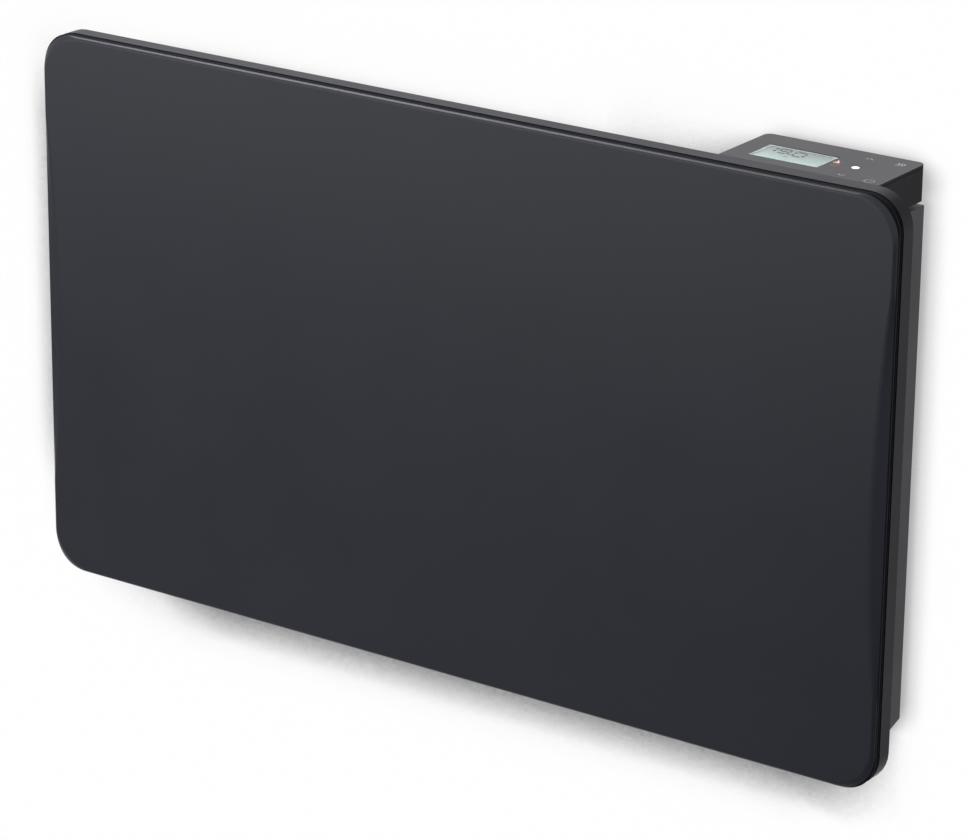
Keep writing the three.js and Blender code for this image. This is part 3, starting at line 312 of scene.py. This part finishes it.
def make_materials():
    made = {
        "panel": finish("panel_paint", linear(20, 25, 38), 0.34, specular=0.4, spread=0.03,
                        mottle=0.03, grain=420.0, depth=0.000012),
        "panel_edge": finish("panel_edge_paint", linear(37, 38, 45), 0.5, specular=0.02, spread=0.04,
                             mottle=0.03, grain=420.0, depth=0.000012),
        "casing": finish("casing_paint", linear(32, 31, 39), 0.42, specular=0.08, spread=0.04,
                         mottle=0.04, grain=520.0, depth=0.00002),
        "housing": finish("housing_paint", linear(49, 46, 54), 0.46, specular=0.28, spread=0.05,
                          mottle=0.05, grain=520.0, depth=0.00003),
        "fascia": finish("fascia_plastic", linear(50, 46, 52), 0.4, specular=0.36, spread=0.03,
                         mottle=0.03, grain=1400.0, depth=0.00001),
        "plastic": finish("control_plastic", linear(34, 32, 37), 0.5, specular=0.05, spread=0.05,
                          mottle=0.05, grain=1100.0, depth=0.00003),
        "black_plastic": finish("component_black", linear(24, 24, 26), 0.42, spread=0.06,
                                grain=900.0, depth=0.00002),
        "white_plastic": finish("component_white", linear(224, 224, 220), 0.5, grain=900.0,
                                depth=0.00002),
        "relay": finish("relay_case", linear(38, 88, 160), 0.4, grain=900.0, depth=0.00002),
        "rubber": finish("black_rubber", linear(26, 26, 28), 0.8, specular=0.3, spread=0.08,
                         mottle=0.12, grain=1600.0, depth=0.00006),
        "seal": finish("grey_seal", linear(54, 54, 59), 0.8, specular=0.05, spread=0.08,
                       mottle=0.12, grain=1600.0, depth=0.00006),
        "silicone": finish("red_silicone", linear(160, 48, 40), 0.55, spread=0.08, mottle=0.1,
                           grain=800.0, depth=0.00004),
        "sleeve": finish("black_sleeve", linear(30, 30, 33), 0.55, spread=0.08, mottle=0.1,
                         grain=800.0, depth=0.00004),
        "ceramic": finish("fired_ceramic", linear(206, 192, 168), 0.85, specular=0.25, spread=0.08,
                          mottle=0.14, grain=260.0, depth=0.0002, broad=30.0),
        "wool": finish("mineral_wool", linear(214, 206, 186), 0.95, specular=0.1, spread=0.04,
                       mottle=0.16, grain=900.0, depth=0.0005, broad=60.0,
                       stretch=(0.25, 1.0, 1.0)),
        "element": finish("element_steel", linear(118, 108, 96), 0.45, metallic=0.9, spread=0.12,
                          mottle=0.18, grain=700.0, depth=0.00003, broad=40.0),
        "zinc": finish("zinc_steel", linear(178, 182, 186), 0.36, metallic=1.0, spread=0.1,
                       mottle=0.09, grain=300.0, depth=0.00002, broad=45.0),
        "aluminium": finish("rolled_aluminium", linear(200, 203, 206), 0.34, metallic=1.0,
                            spread=0.08, mottle=0.05, grain=900.0, depth=0.00002,
                            stretch=(0.04, 1.0, 1.0)),
        "board": finish("circuit_board", linear(26, 82, 52), 0.45, spread=0.06, mottle=0.12,
                        grain=1500.0, depth=0.00003, broad=120.0),
        "backlight": finish("backlight", linear(236, 240, 238), 0.4, grain=900.0, depth=0.00001),
    }
    # Painted light: the casing's upward faces are paler, as if lit from above.
    paint_light_on_top(made["casing"], linear(79, 78, 84))
    made["lens"] = glass_material()
    made["lcd"] = lcd_with_painted_shade()
    made["segment"] = finish("display_segment", linear(16, 22, 28), 0.6, specular=0.1, grain=1500.0,
                             depth=0.00001)
    made["border"] = finish("display_border", linear(196, 204, 204), 0.5, grain=1500.0, depth=0.00001)
    made["print"] = finish("symbol_print", linear(214, 212, 216), 0.55, grain=1500.0, depth=0.00001)
    made["print_dim"] = finish("symbol_print_dim", linear(162, 160, 164), 0.55, grain=1500.0,
                               depth=0.00001)
    made["lamp_white"] = lamp_material("lamp_white", (1.0, 0.99, 0.98, 1.0), 1.0)
    made["lamp_warm"] = lamp_material("lamp_warm", linear(255, 214, 196), 0.75)
    made["lamp_orange"] = lamp_material("lamp_orange", linear(122, 84, 74), 0.08)
    return made


def paint_light_on_top(material, colour):
    """Painted light: a paler colour on the faces that look straight up, standing in for the light
    that falls on the top.
    """
    tree = material.node_tree
    base = tree.nodes["Principled BSDF"].inputs["Base Color"]
    side = tree.nodes.new("ShaderNodeNewGeometry")
    split = tree.nodes.new("ShaderNodeSeparateXYZ")
    tree.links.new(side.outputs["Normal"], split.inputs["Vector"])
    up = map_range(tree, split.outputs["Z"], 0.0, 1.0, *TOP_LIGHT_FADE)
    mix = tree.nodes.new("ShaderNodeMix")
    mix.data_type = "RGBA"
    tree.links.new(up, mix.inputs["Factor"])
    tree.links.new(base.links[0].from_socket, mix.inputs["A"])
    mix.inputs["B"].default_value = colour
    tree.links.new(mix.outputs["Result"], base)


def glass_material():
    """A clear window with a faint haze, whose gloss changes a little over it."""
    material, tree, shader = start_material("lens")
    shader.inputs["Base Color"].default_value = linear(238, 244, 242)
    shader.inputs["Transmission Weight"].default_value = 1.0
    shader.inputs["IOR"].default_value = 1.12
    cloud = noise(tree, 60.0)
    tree.links.new(map_range(tree, cloud, 0.04, 0.09), shader.inputs["Roughness"])
    bump(tree, shader, noise(tree, 700.0), 0.000004)
    return material


def lcd_with_painted_shade():
    """Pale green-grey and glowing a little, with painted shade that darkens it towards the back, the
    far left of the display.
    """
    material, tree, shader = start_material("display")
    place = tree.nodes.new("ShaderNodeTexCoord")
    split = tree.nodes.new("ShaderNodeSeparateXYZ")
    tree.links.new(place.outputs["Object"], split.inputs["Vector"])
    depth = tree.nodes.new("ShaderNodeMapRange")
    depth.inputs["From Min"].default_value = lcd_lo.y
    depth.inputs["From Max"].default_value = lcd_hi.y
    tree.links.new(split.outputs["Y"], depth.inputs["Value"])
    # Painted shade: from front to back the colour and the glow fall to a darker grey-green.
    tone = blend_colours(tree, depth.outputs["Result"], linear(184, 198, 198), linear(122, 130, 132))
    tree.links.new(tone, shader.inputs["Base Color"])
    tree.links.new(tone, shader.inputs["Emission Color"])
    shader.inputs["Emission Strength"].default_value = LCD_GLOW
    cloud = noise(tree, 90.0)
    tree.links.new(map_range(tree, cloud, 0.3, 0.42), shader.inputs["Roughness"])
    bump(tree, shader, noise(tree, 900.0), 0.00001)
    return material


def lamp_material(name, colour, strength):
    material, tree, shader = start_material(name)
    shader.inputs["Base Color"].default_value = colour
    shader.inputs["Emission Color"].default_value = colour
    cloud = noise(tree, 400.0)
    glow = map_range(tree, cloud, strength * 0.9, strength * 1.1)
    tree.links.new(glow, shader.inputs["Emission Strength"])
    tree.links.new(map_range(tree, cloud, 0.35, 0.5), shader.inputs["Roughness"])
    bump(tree, shader, noise(tree, 900.0), 0.00001)
    return material


# Camera, stage and lamps
def make_camera():
    view = Vector(VIEW).normalized()
    up = Vector(UP)
    right = view.cross(up).normalized()
    up = right.cross(view).normalized()
    data = bpy.data.cameras.new("camera")
    data.sensor_fit = "HORIZONTAL"
    data.sensor_width = SENSOR_WIDTH
    data.lens = FOCAL_LENGTH
    data.clip_start = 0.05
    data.clip_end = 50.0
    camera = link_object("camera", data)
    turn = Matrix((right, up, -view)).transposed().to_4x4()
    camera.matrix_world = Matrix.Translation(Vector(EYE)) @ turn
    bpy.context.scene.camera = camera


def ray_switch(tree, names):
    """1 for the kinds of ray that are named, and 0 for the others."""
    path = tree.nodes.new("ShaderNodeLightPath")
    total = path.outputs[names[0]]
    for name in names[1:]:
        node = tree.nodes.new("ShaderNodeMath")
        node.operation = "MAXIMUM"
        tree.links.new(total, node.inputs[0])
        tree.links.new(path.outputs[name], node.inputs[1])
        total = node.outputs["Value"]
    return total


def occlusion(tree, distance, aim, from_low, from_high, low):
    """How open the room is on the aimed side of a point of the wall, as a factor from low to 1."""
    lean = tree.nodes.new("ShaderNodeCombineXYZ")
    lean.inputs["X"].default_value = aim[0]
    lean.inputs["Y"].default_value = aim[1]
    lean.inputs["Z"].default_value = aim[2]
    node = tree.nodes.new("ShaderNodeAmbientOcclusion")
    node.samples = SHADOW_SAMPLES
    node.inputs["Distance"].default_value = distance
    tree.links.new(lean.outputs["Vector"], node.inputs["Normal"])
    return map_range(tree, node.outputs["AO"], low, 1.0, from_low, from_high)


def multiply(tree, first, second):
    node = tree.nodes.new("ShaderNodeMath")
    node.operation = "MULTIPLY"
    tree.links.new(first, node.inputs[0])
    tree.links.new(second, node.inputs[1])
    return node.outputs["Value"]


def wall_material():
    """White, with a soft shadow close round the object, and open when it is seen from behind."""
    material = bpy.data.materials.new("wall")
    material.use_nodes = True
    tree = material.node_tree
    tree.nodes.clear()
    output = tree.nodes.new("ShaderNodeOutputMaterial")
    mix = tree.nodes.new("ShaderNodeMixShader")
    clear = tree.nodes.new("ShaderNodeBsdfTransparent")
    glow = tree.nodes.new("ShaderNodeEmission")
    glow.inputs["Color"].default_value = WALL_COLOUR
    near, below, beside = [occlusion(tree, *values) for values in WALL_SHADOWS]
    shadow = multiply(tree, multiply(tree, near, below), beside)
    tree.links.new(shadow, glow.inputs["Strength"])
    side = tree.nodes.new("ShaderNodeNewGeometry")
    tree.links.new(side.outputs["Backfacing"], mix.inputs["Fac"])
    tree.links.new(glow.outputs["Emission"], mix.inputs[1])
    tree.links.new(clear.outputs["BSDF"], mix.inputs[2])
    tree.links.new(mix.outputs["Shader"], output.inputs["Surface"])
    return material


def floor_material():
    material, tree, shader = start_material("floor")
    shader.inputs["Specular IOR Level"].default_value = 0.1
    cloud = noise(tree, 3.0)
    tone = blend_colours(tree, cloud, *FLOOR_TONES)
    tree.links.new(tone, shader.inputs["Base Color"])
    tree.links.new(map_range(tree, cloud, 0.7, 0.8), shader.inputs["Roughness"])
    return material


def make_stage():
    reach = STAGE_REACH
    wall = mesh_object("wall", [
        (-reach, WALL_Y, FLOOR_Z),
        (reach, WALL_Y, FLOOR_Z),
        (reach, WALL_Y, reach),
        (-reach, WALL_Y, reach),
    ], [(0, 1, 2, 3)])
    set_material(wall, wall_material())
    wall.visible_shadow = False
    wall.visible_diffuse = False
    wall.visible_glossy = False
    floor = mesh_object("floor", [
        (-reach, -reach, FLOOR_Z),
        (reach, -reach, FLOOR_Z),
        (reach, WALL_Y, FLOOR_Z),
        (-reach, WALL_Y, FLOOR_Z),
    ], [(0, 1, 2, 3)])
    set_material(floor, floor_material())


def make_world():
    world = bpy.data.worlds.new("world")
    bpy.context.scene.world = world
    world.use_nodes = True
    tree = world.node_tree
    background = tree.nodes["Background"]
    seen = ray_switch(tree, ["Is Camera Ray", "Is Transmission Ray", "Is Glossy Ray"])
    strength = map_range(tree, seen, AMBIENT, 1.0, 0.0, 1.0)
    background.inputs["Color"].default_value = WORLD_COLOUR
    tree.links.new(strength, background.inputs["Strength"])


def make_lamp(name, place, target, width, height, watts):
    data = bpy.data.lights.new(name, "AREA")
    data.shape = "RECTANGLE"
    data.size = width
    data.size_y = height
    data.energy = watts
    lamp = link_object(name, data)
    lamp.location = place
    lamp.rotation_mode = "QUATERNION"
    lamp.rotation_quaternion = (Vector(target) - Vector(place)).to_track_quat("-Z", "Y")
    lamp.visible_camera = False


def make_lamps():
    for lamp in LAMPS:
        make_lamp(*lamp)


# Front panel: the solid's form with finer rings and a rolled crease
def scoop_at(z):
    rise = z - BOTTOM_Z - SCOOP_DEEPEST
    reach = SCOOP_TOP - SCOOP_DEEPEST if rise > 0 else SCOOP_DEEPEST - SCOOP_BOTTOM
    share = min(abs(rise) / reach, 1.0)
    return SCOOP_DEPTH * max(math.cos(share * math.pi / 2), 0.0) ** SCOOP_FLATNESS


def soft_max(first, second, blend):
    """The greater of two lengths, rounded off where they are within blend of each other."""
    gap = max(blend - abs(first - second), 0.0)
    return max(first, second) + gap * gap / (4 * blend)


def edge_depth(inset):
    """How far behind the front face the rounded edge lies, at an inset from the panel's side."""
    across = max(PANEL_EDGE - inset, 0.0)
    return PANEL_EDGE - math.sqrt(max(PANEL_EDGE ** 2 - across ** 2, 0.0))


def front_depth(inset, scoop):
    """How far back the front lies at an inset: face, flank down from the crease, or edge."""
    end = PANEL_EDGE - math.sqrt(PANEL_EDGE ** 2 - (PANEL_EDGE - FLANK_END) ** 2)
    if scoop <= end * FLANK_START:
        return edge_depth(inset)
    blend = min(CREASE_BLEND, scoop)
    ahead = scoop - inset
    if ahead < -blend:
        ramp = 0.0
    elif ahead < blend:
        ramp = (ahead + blend) ** 2 / (4 * blend)
    else:
        ramp = ahead
    return soft_max(edge_depth(inset), FLANK_END * ramp / (scoop - end), FLANK_BLEND)


def rim_profile(scoop):
    """Insets and depths from the front face over the rim to the floor of the pan."""
    widest = max(scoop + CREASE_BLEND, PANEL_EDGE)
    profile = []
    for i in range(FRONT_STEPS + 1):
        share = 1 - math.sin(math.pi / 2 * i / FRONT_STEPS)
        inset = FACE_INSET + (widest - FACE_INSET) * share
        profile.append((inset, 0.0 if i == 0 else front_depth(inset, scoop)))
    start = math.asin(1 - FACE_INSET / PANEL_EDGE)
    for i in range(1, EDGE_STEPS + 1):
        angle = start + (math.pi / 2 - start) * i / EDGE_STEPS
        profile.append((PANEL_EDGE * (1 - math.sin(angle)), PANEL_EDGE * (1 - math.cos(angle))))
    for i in range(1, BACK_STEPS + 1):
        angle = math.pi / 2 * i / BACK_STEPS
        inset = BACK_EDGE * (1 - math.cos(angle))
        profile.append((inset, PANEL_EDGE + BACK_EDGE * math.sin(angle)))
    rim = RIM_WIDTH + scoop * (1 - PANEL_WALL / PANEL_EDGE)
    profile.append((rim, PANEL_DEPTH))
    profile.append((rim, PANEL_WALL))
    return profile


def panel_rings():
    """The rim's profile carried round the panel, as rings of points from front to back."""
    plain = rim_profile(0.0)
    low = BOTTOM_Z + CORNER_RADIUS + CORNER_EASE
    high = TOP_Z - CORNER_RADIUS - CORNER_EASE
    levels = [low + (high - low) * i / SIDE_STEPS for i in range(1, SIDE_STEPS)]
    flanks = [rim_profile(scoop_at(z)) for z in levels]
    rings = []
    for step, (inset, depth) in enumerate(plain):
        ease = CORNER_EASE * max(1 - depth / PANEL_EDGE, 0.0)
        centre = HALF_WIDTH - CORNER_RADIUS - ease
        radius = CORNER_RADIUS + ease - inset
        right = []
        for i in range(CORNER_STEPS + 1):
            angle = -math.pi / 2 + math.pi / 2 * i / CORNER_STEPS
            z = BOTTOM_Z + CORNER_RADIUS + ease + radius * math.sin(angle)
            right.append((centre + radius * math.cos(angle), FRONT_Y + depth, z))
        for z, flank in zip(levels, flanks):
            right.append((HALF_WIDTH - flank[step][0], FRONT_Y + flank[step][1], z))
        for i in range(CORNER_STEPS + 1):
            angle = math.pi / 2 * i / CORNER_STEPS
            z = TOP_Z - CORNER_RADIUS - ease + radius * math.sin(angle)
            right.append((centre + radius * math.cos(angle), FRONT_Y + depth, z))
        rings.append(right + [(-x, y, z) for x, y, z in reversed(right)])
    return rings


def make_front_panel(materials):
    """The pressed front, with a duller coat on its turned edge and inside."""
    rings = panel_rings()
    count = len(rings[0])
    points = [point for ring in rings for point in ring]
    faces = [tuple(range(count))]
    for r in range(len(rings) - 1):
        for i in range(count):
            a = r * count + i
            b = r * count + (i + 1) % count
            faces.append((a, a + count, b + count, b))
    last = (len(rings) - 1) * count
    faces.append(tuple(reversed(range(last, last + count))))
    piece = mesh_object("panel_shell", points, faces)
    stand_for(piece, "front_panel", materials["panel"])
    piece.data.materials.append(materials["panel_edge"])
    for face in piece.data.polygons:
        face.material_index = 1 if face.center.y > FRONT_Y + FLANK_END else 0
    weigh_normals(piece, PANEL_ANGLE)


def rounded_outline(inset):
    """The panel's crown moved in by an inset, in X and Z."""
    radius = CORNER_RADIUS - inset
    across = HALF_WIDTH - CORNER_RADIUS
    low = BOTTOM_Z + CORNER_RADIUS
    high = TOP_Z - CORNER_RADIUS
    outline = []
    corners = ((across, low, -90), (across, high, 0), (-across, high, 90), (-across, low, 180))
    for x, z, start in corners:
        for i in range(CORNER_STEPS + 1):
            angle = math.radians(start + 90 * i / CORNER_STEPS)
            outline.append((x + radius * math.cos(angle), z + radius * math.sin(angle)))
    return outline


def make_seal(materials):
    """The strip in the shadow gap, with a lip that reaches towards the panel's edge."""
    seal_lo, seal_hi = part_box("panel_seal")
    inner = panel_hi.x - seal_hi.x + SEAL_BAND
    rings = [
        (inner, seal_lo.y),
        (SEAL_LIP + SEAL_CHAMFER, seal_lo.y),
        (SEAL_LIP, seal_lo.y + SEAL_CHAMFER),
        (SEAL_LIP, seal_hi.y - SEAL_CHAMFER),
        (SEAL_LIP + SEAL_CHAMFER, seal_hi.y),
        (inner, seal_hi.y),
    ]
    outlines = [(rounded_outline(inset), y) for inset, y in rings]
    count = len(outlines[0][0])
    points = [(x, y, z) for outline, y in outlines for x, z in outline]
    faces = []
    for r in range(len(rings)):
        s = (r + 1) % len(rings)
        for i in range(count):
            j = (i + 1) % count
            faces.append((r * count + i, s * count + i, s * count + j, r * count + j))
    piece = mesh_object("seal_strip", points, faces)
    smooth(piece, SEAL_ANGLE)
    stand_for(piece, "panel_seal", materials["seal"])


def weigh_normals(piece, degrees):
    """Keeps large flat faces flat beside rounded edges."""
    smooth(piece, degrees)
    modifier = piece.modifiers.new("normals", "WEIGHTED_NORMAL")
    modifier.keep_sharp = True
    modifier.weight = NORMAL_WEIGHT
    apply_modifiers(piece)


# Carried-over shapes with their edges eased
def dress(node, name, width, material):
    """A copy of a node's mesh with flat faces merged and each sharp edge rounded."""
    mesh = nodes[node].data.copy()
    mesh.name = name
    work = bmesh.new()
    work.from_mesh(mesh)
    bmesh.ops.remove_doubles(work, verts=work.verts, dist=SAME_PLACE)
    flat = math.radians(FLAT_ANGLE)
    bmesh.ops.dissolve_limit(work, angle_limit=flat, verts=work.verts, edges=work.edges)
    work.to_mesh(mesh)
    work.free()
    piece = link_object(name, mesh)
    modifier = piece.modifiers.new("edges", "BEVEL")
    modifier.width = width
    modifier.segments = BEVEL_SEGMENTS
    modifier.limit_method = "ANGLE"
    modifier.angle_limit = math.radians(BEVEL_ANGLE)
    modifier.use_clamp_overlap = True
    apply_modifiers(piece)
    weigh_normals(piece, DRESSED_ANGLE)
    stand_for(piece, node, material)
    return piece


def stand_for(piece, node, material):
    set_material(piece, material)
    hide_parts(node)
    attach(piece, body_of[node])


def place_on(piece, body, material):
    set_material(piece, material)
    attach(piece, body)


# Symbols on the fascia and the display
def plate(name, outlines, low, high):
    """Flat closed outlines in X and Y, in millimetres, as one thin solid."""
    points = []
    faces = []
    for outline in outlines:
        count = len(outline)
        start = len(points)
        points += [(x * MM, y * MM, low) for x, y in outline]
        points += [(x * MM, y * MM, high) for x, y in outline]
        faces.append(tuple(start + i for i in reversed(range(count))))
        faces.append(tuple(start + count + i for i in range(count)))
        for i in range(count):
            j = (i + 1) % count
            faces.append((start + i, start + j, start + count + j, start + count + i))
    return mesh_object(name, points, faces)


def stroke(x0, y0, x1, y1, width):
    """The outline of a bar with pointed ends, as a display's segments have."""
    along = Vector((x1 - x0, y1 - y0))
    length = along.length
    along = along / length
    across = Vector((-along.y, along.x)) * width / 2
    tip = along * width / 2
    start = Vector((x0, y0))
    end = Vector((x1, y1))
    corners = [
        start,
        start + tip - across,
        end - tip - across,
        end,
        end - tip + across,
        start + tip + across,
    ]
    return [(corner.x, corner.y) for corner in corners]


def ring_outlines(x, y, radius, width, from_degrees, to_degrees, steps):
    outlines = []
    for i in range(steps):
        a = math.radians(from_degrees + (to_degrees - from_degrees) * i / steps)
        b = math.radians(from_degrees + (to_degrees - from_degrees) * (i + 1) / steps)
        inner = radius - width / 2
        outer = radius + width / 2
        outlines.append([
            (x + inner * math.cos(a), y + inner * math.sin(a)),
            (x + outer * math.cos(a), y + outer * math.sin(a)),
            (x + outer * math.cos(b), y + outer * math.sin(b)),
            (x + inner * math.cos(b), y + inner * math.sin(b)),
        ])
    return outlines


def disc(x, y, radius, steps):
    angles = [2 * math.pi * i / steps for i in range(steps)]
    return [(x + radius * math.cos(angle), y + radius * math.sin(angle)) for angle in angles]


def digit_outlines(digit, x, y, width, height, thickness):
    """A seven-segment digit whose lower left corner is at x, y."""
    gap = thickness / 4
    middle = y + height / 2
    ends = {
        "a": (x + gap, y + height, x + width - gap, y + height),
        "b": (x + width, middle + gap, x + width, y + height - gap),
        "c": (x + width, y + gap, x + width, middle - gap),
        "d": (x + gap, y, x + width - gap, y),
        "e": (x, y + gap, x, middle - gap),
        "f": (x, middle + gap, x, y + height - gap),
        "g": (x + gap, middle, x + width - gap, middle),
    }
    return [stroke(*ends[segment], thickness) for segment in DIGIT_SEGMENTS[digit]]


def make_display(materials):
    outlines = []
    for digit in DIGITS:
        outlines += digit_outlines(*digit)
    outlines.append(disc(*POINT, MARK_STEPS))
    outlines += ring_outlines(*DEGREE_MARK, 0, 360, MARK_STEPS)
    digits = plate("display_digits", outlines, lcd_hi.z + DIGIT_LOW, lcd_hi.z + DIGIT_HIGH)
    place_on(digits, "radiator", materials["segment"])
    x0, x1 = window_lo.x / MM, window_hi.x / MM
    y0, y1 = window_lo.y / MM, window_hi.y / MM
    wide = BORDER_WIDTH
    frame_bars = [
        [(x0, y0), (x1, y0), (x1, y0 + wide), (x0, y0 + wide)],
        [(x0, y1 - wide), (x1, y1 - wide), (x1, y1), (x0, y1)],
        [(x0, y0 + wide), (x0 + wide, y0 + wide), (x0 + wide, y1 - wide), (x0, y1 - wide)],
        [(x1 - wide, y0 + wide), (x1, y0 + wide), (x1, y1 - wide), (x1 - wide, y1 - wide)],
    ]
    low = window_lo.z - BORDER_LOW
    high = window_lo.z - BORDER_HIGH
    border = plate("display_border", frame_bars, low, high)
    place_on(border, "radiator", materials["border"])


def chevron(x, y, half, rise, width):
    """Two strokes that cross in a point, up where rise is above zero."""
    overlap = width / 5
    return [
        stroke(x - half, y - rise / 2, x + overlap, y + rise / 2, width),
        stroke(x + half, y - rise / 2, x - overlap, y + rise / 2, width),
    ]


def make_symbols(materials):
    low = fascia_hi.z - SYMBOL_DEPTH
    high = fascia_hi.z
    bright = []
    for mark in CHEVRONS:
        bright += chevron(*mark)
    for start in WAVE_STARTS:
        for x0, y0, x1, y1 in WAVE_STROKES:
            bright.append(stroke(start + x0, y0, start + x1, y1, WAVE_WIDTH))
    keys = plate("key_symbols", bright, low, high)
    place_on(keys, "radiator", materials["print"])
    power = ring_outlines(*POWER_RING, RING_STEPS)
    power.append(stroke(*POWER_BAR))
    power_symbol = plate("power_symbol", power, low, high)
    place_on(power_symbol, "radiator", materials["print_dim"])
    dot = plate("centre_key", [disc(*CENTRE_KEY, ROUND_STEPS)], low, high)
    place_on(dot, "radiator", materials["lamp_white"])
    flame = plate("heating_symbol", [stroke(*bar) for bar in FLAME_STROKES], low, high)
    place_on(flame, "radiator", materials["lamp_warm"])
    glow = ring_outlines(*HEATING_RING, 0, 360, GLOW_STEPS)
    glow.append(disc(*HEATING_DOT, DOT_STEPS))
    lamp = plate("heating_lamp", glow, low, high)
    place_on(lamp, "radiator", materials["lamp_orange"])


def make_fascia(materials):
    piece = dress("control_fascia", "fascia_plate", FASCIA_BEVEL, materials["fascia"])
    for vertex in piece.data.vertices:
        if vertex.co.z > fascia_hi.z - FASCIA_SINK:
            vertex.co.z = fascia_hi.z - FASCIA_SINK
    weigh_normals(piece, DRESSED_ANGLE)
    # Painted shade: every face that does not look up takes the darker, duller tray plastic, so the
    # plate's edges catch no light.
    piece.data.materials.append(materials["plastic"])
    for face in piece.data.polygons:
        face.material_index = 0 if face.normal.z > UPWARD else 1


# Which nodes are dressed: their piece, edge radius in millimetres, finish and slot
DRESSED = {
    "casing": ("casing_shell", 0.5, "casing", "casing_paint"),
    "rear_housing": ("housing_shell", 0.5, "housing", "casing_paint"),
    "control_housing": ("control_tray", 0.35, "plastic", "control_plastic"),
    "display_window": ("window_glass", 0.15, "lens", "lens"),
    "switch_body": ("switch_frame", 0.3, "black_plastic", "component_black"),
    "power_rocker": ("rocker_cap", 0.5, "black_plastic", "component_black"),
    "wall_rail_left": ("rail_left", 0.3, "zinc", "zinc_steel"),
    "wall_rail_right": ("rail_right", 0.3, "zinc", "zinc_steel"),
    "wall_crossbar_upper": ("crossbar_upper", 0.3, "zinc", "zinc_steel"),
    "wall_crossbar_lower": ("crossbar_lower", 0.3, "zinc", "zinc_steel"),
    "wall_lock_left": ("lock_left_body", 0.3, "zinc", "zinc_steel"),
    "wall_lock_right": ("lock_right_body", 0.3, "zinc", "zinc_steel"),
    "wall_pad_left": ("pad_left", 1.0, "rubber", "black_rubber"),
    "wall_pad_right": ("pad_right", 1.0, "rubber", "black_rubber"),
    "cable_grommet": ("grommet", 0.6, "rubber", "black_rubber"),
}

# The finish of each node whose shape stays as it is
KEPT = {
    "heating_element": "element",
    "heat_spreader": "aluminium",
    "insulation_board": "wool",
    "thermal_cutout": "black_plastic",
    "element_link_wire": "silicone",
    "live_wire": "silicone",
    "neutral_wire": "sleeve",
    "lcd_panel": "lcd",
    "display_backlight": "backlight",
    "touch_board": "board",
    "power_board": "board",
    "heating_relay": "relay",
    "power_transformer": "black_plastic",
    "terminal_block": "white_plastic",
    "smoothing_capacitor": "sleeve",
    "fuse": "white_plastic",
    "room_sensor": "black_plastic",
}
KEPT_BY_START = {
    "panel_post_": "zinc",
    "ceramic_brick_": "ceramic",
    "core_strap_": "zinc",
    "touch_pad_": "rubber",
    "housing_screw_": "zinc",
    "control_screw_": "zinc",
}


def dress_all(materials):
    for node, (name, width, material, slot) in DRESSED.items():
        dress(node, name, width * MM, materials[material])
    for node, piece in nodes.items():
        kind = KEPT.get(node)
        for start, name in KEPT_BY_START.items():
            if node.startswith(start):
                kind = name
        if kind:
            set_slots(piece, materials[kind])


def set_slots(piece, material):
    for slot in piece.material_slots:
        slot.material = material


bpy.context.scene.view_settings.view_transform = "Standard"
make_camera()
make_world()
make_stage()
make_lamps()
all_materials = make_materials()
dress_all(all_materials)
make_front_panel(all_materials)
make_seal(all_materials)
make_fascia(all_materials)
make_display(all_materials)
make_symbols(all_materials)
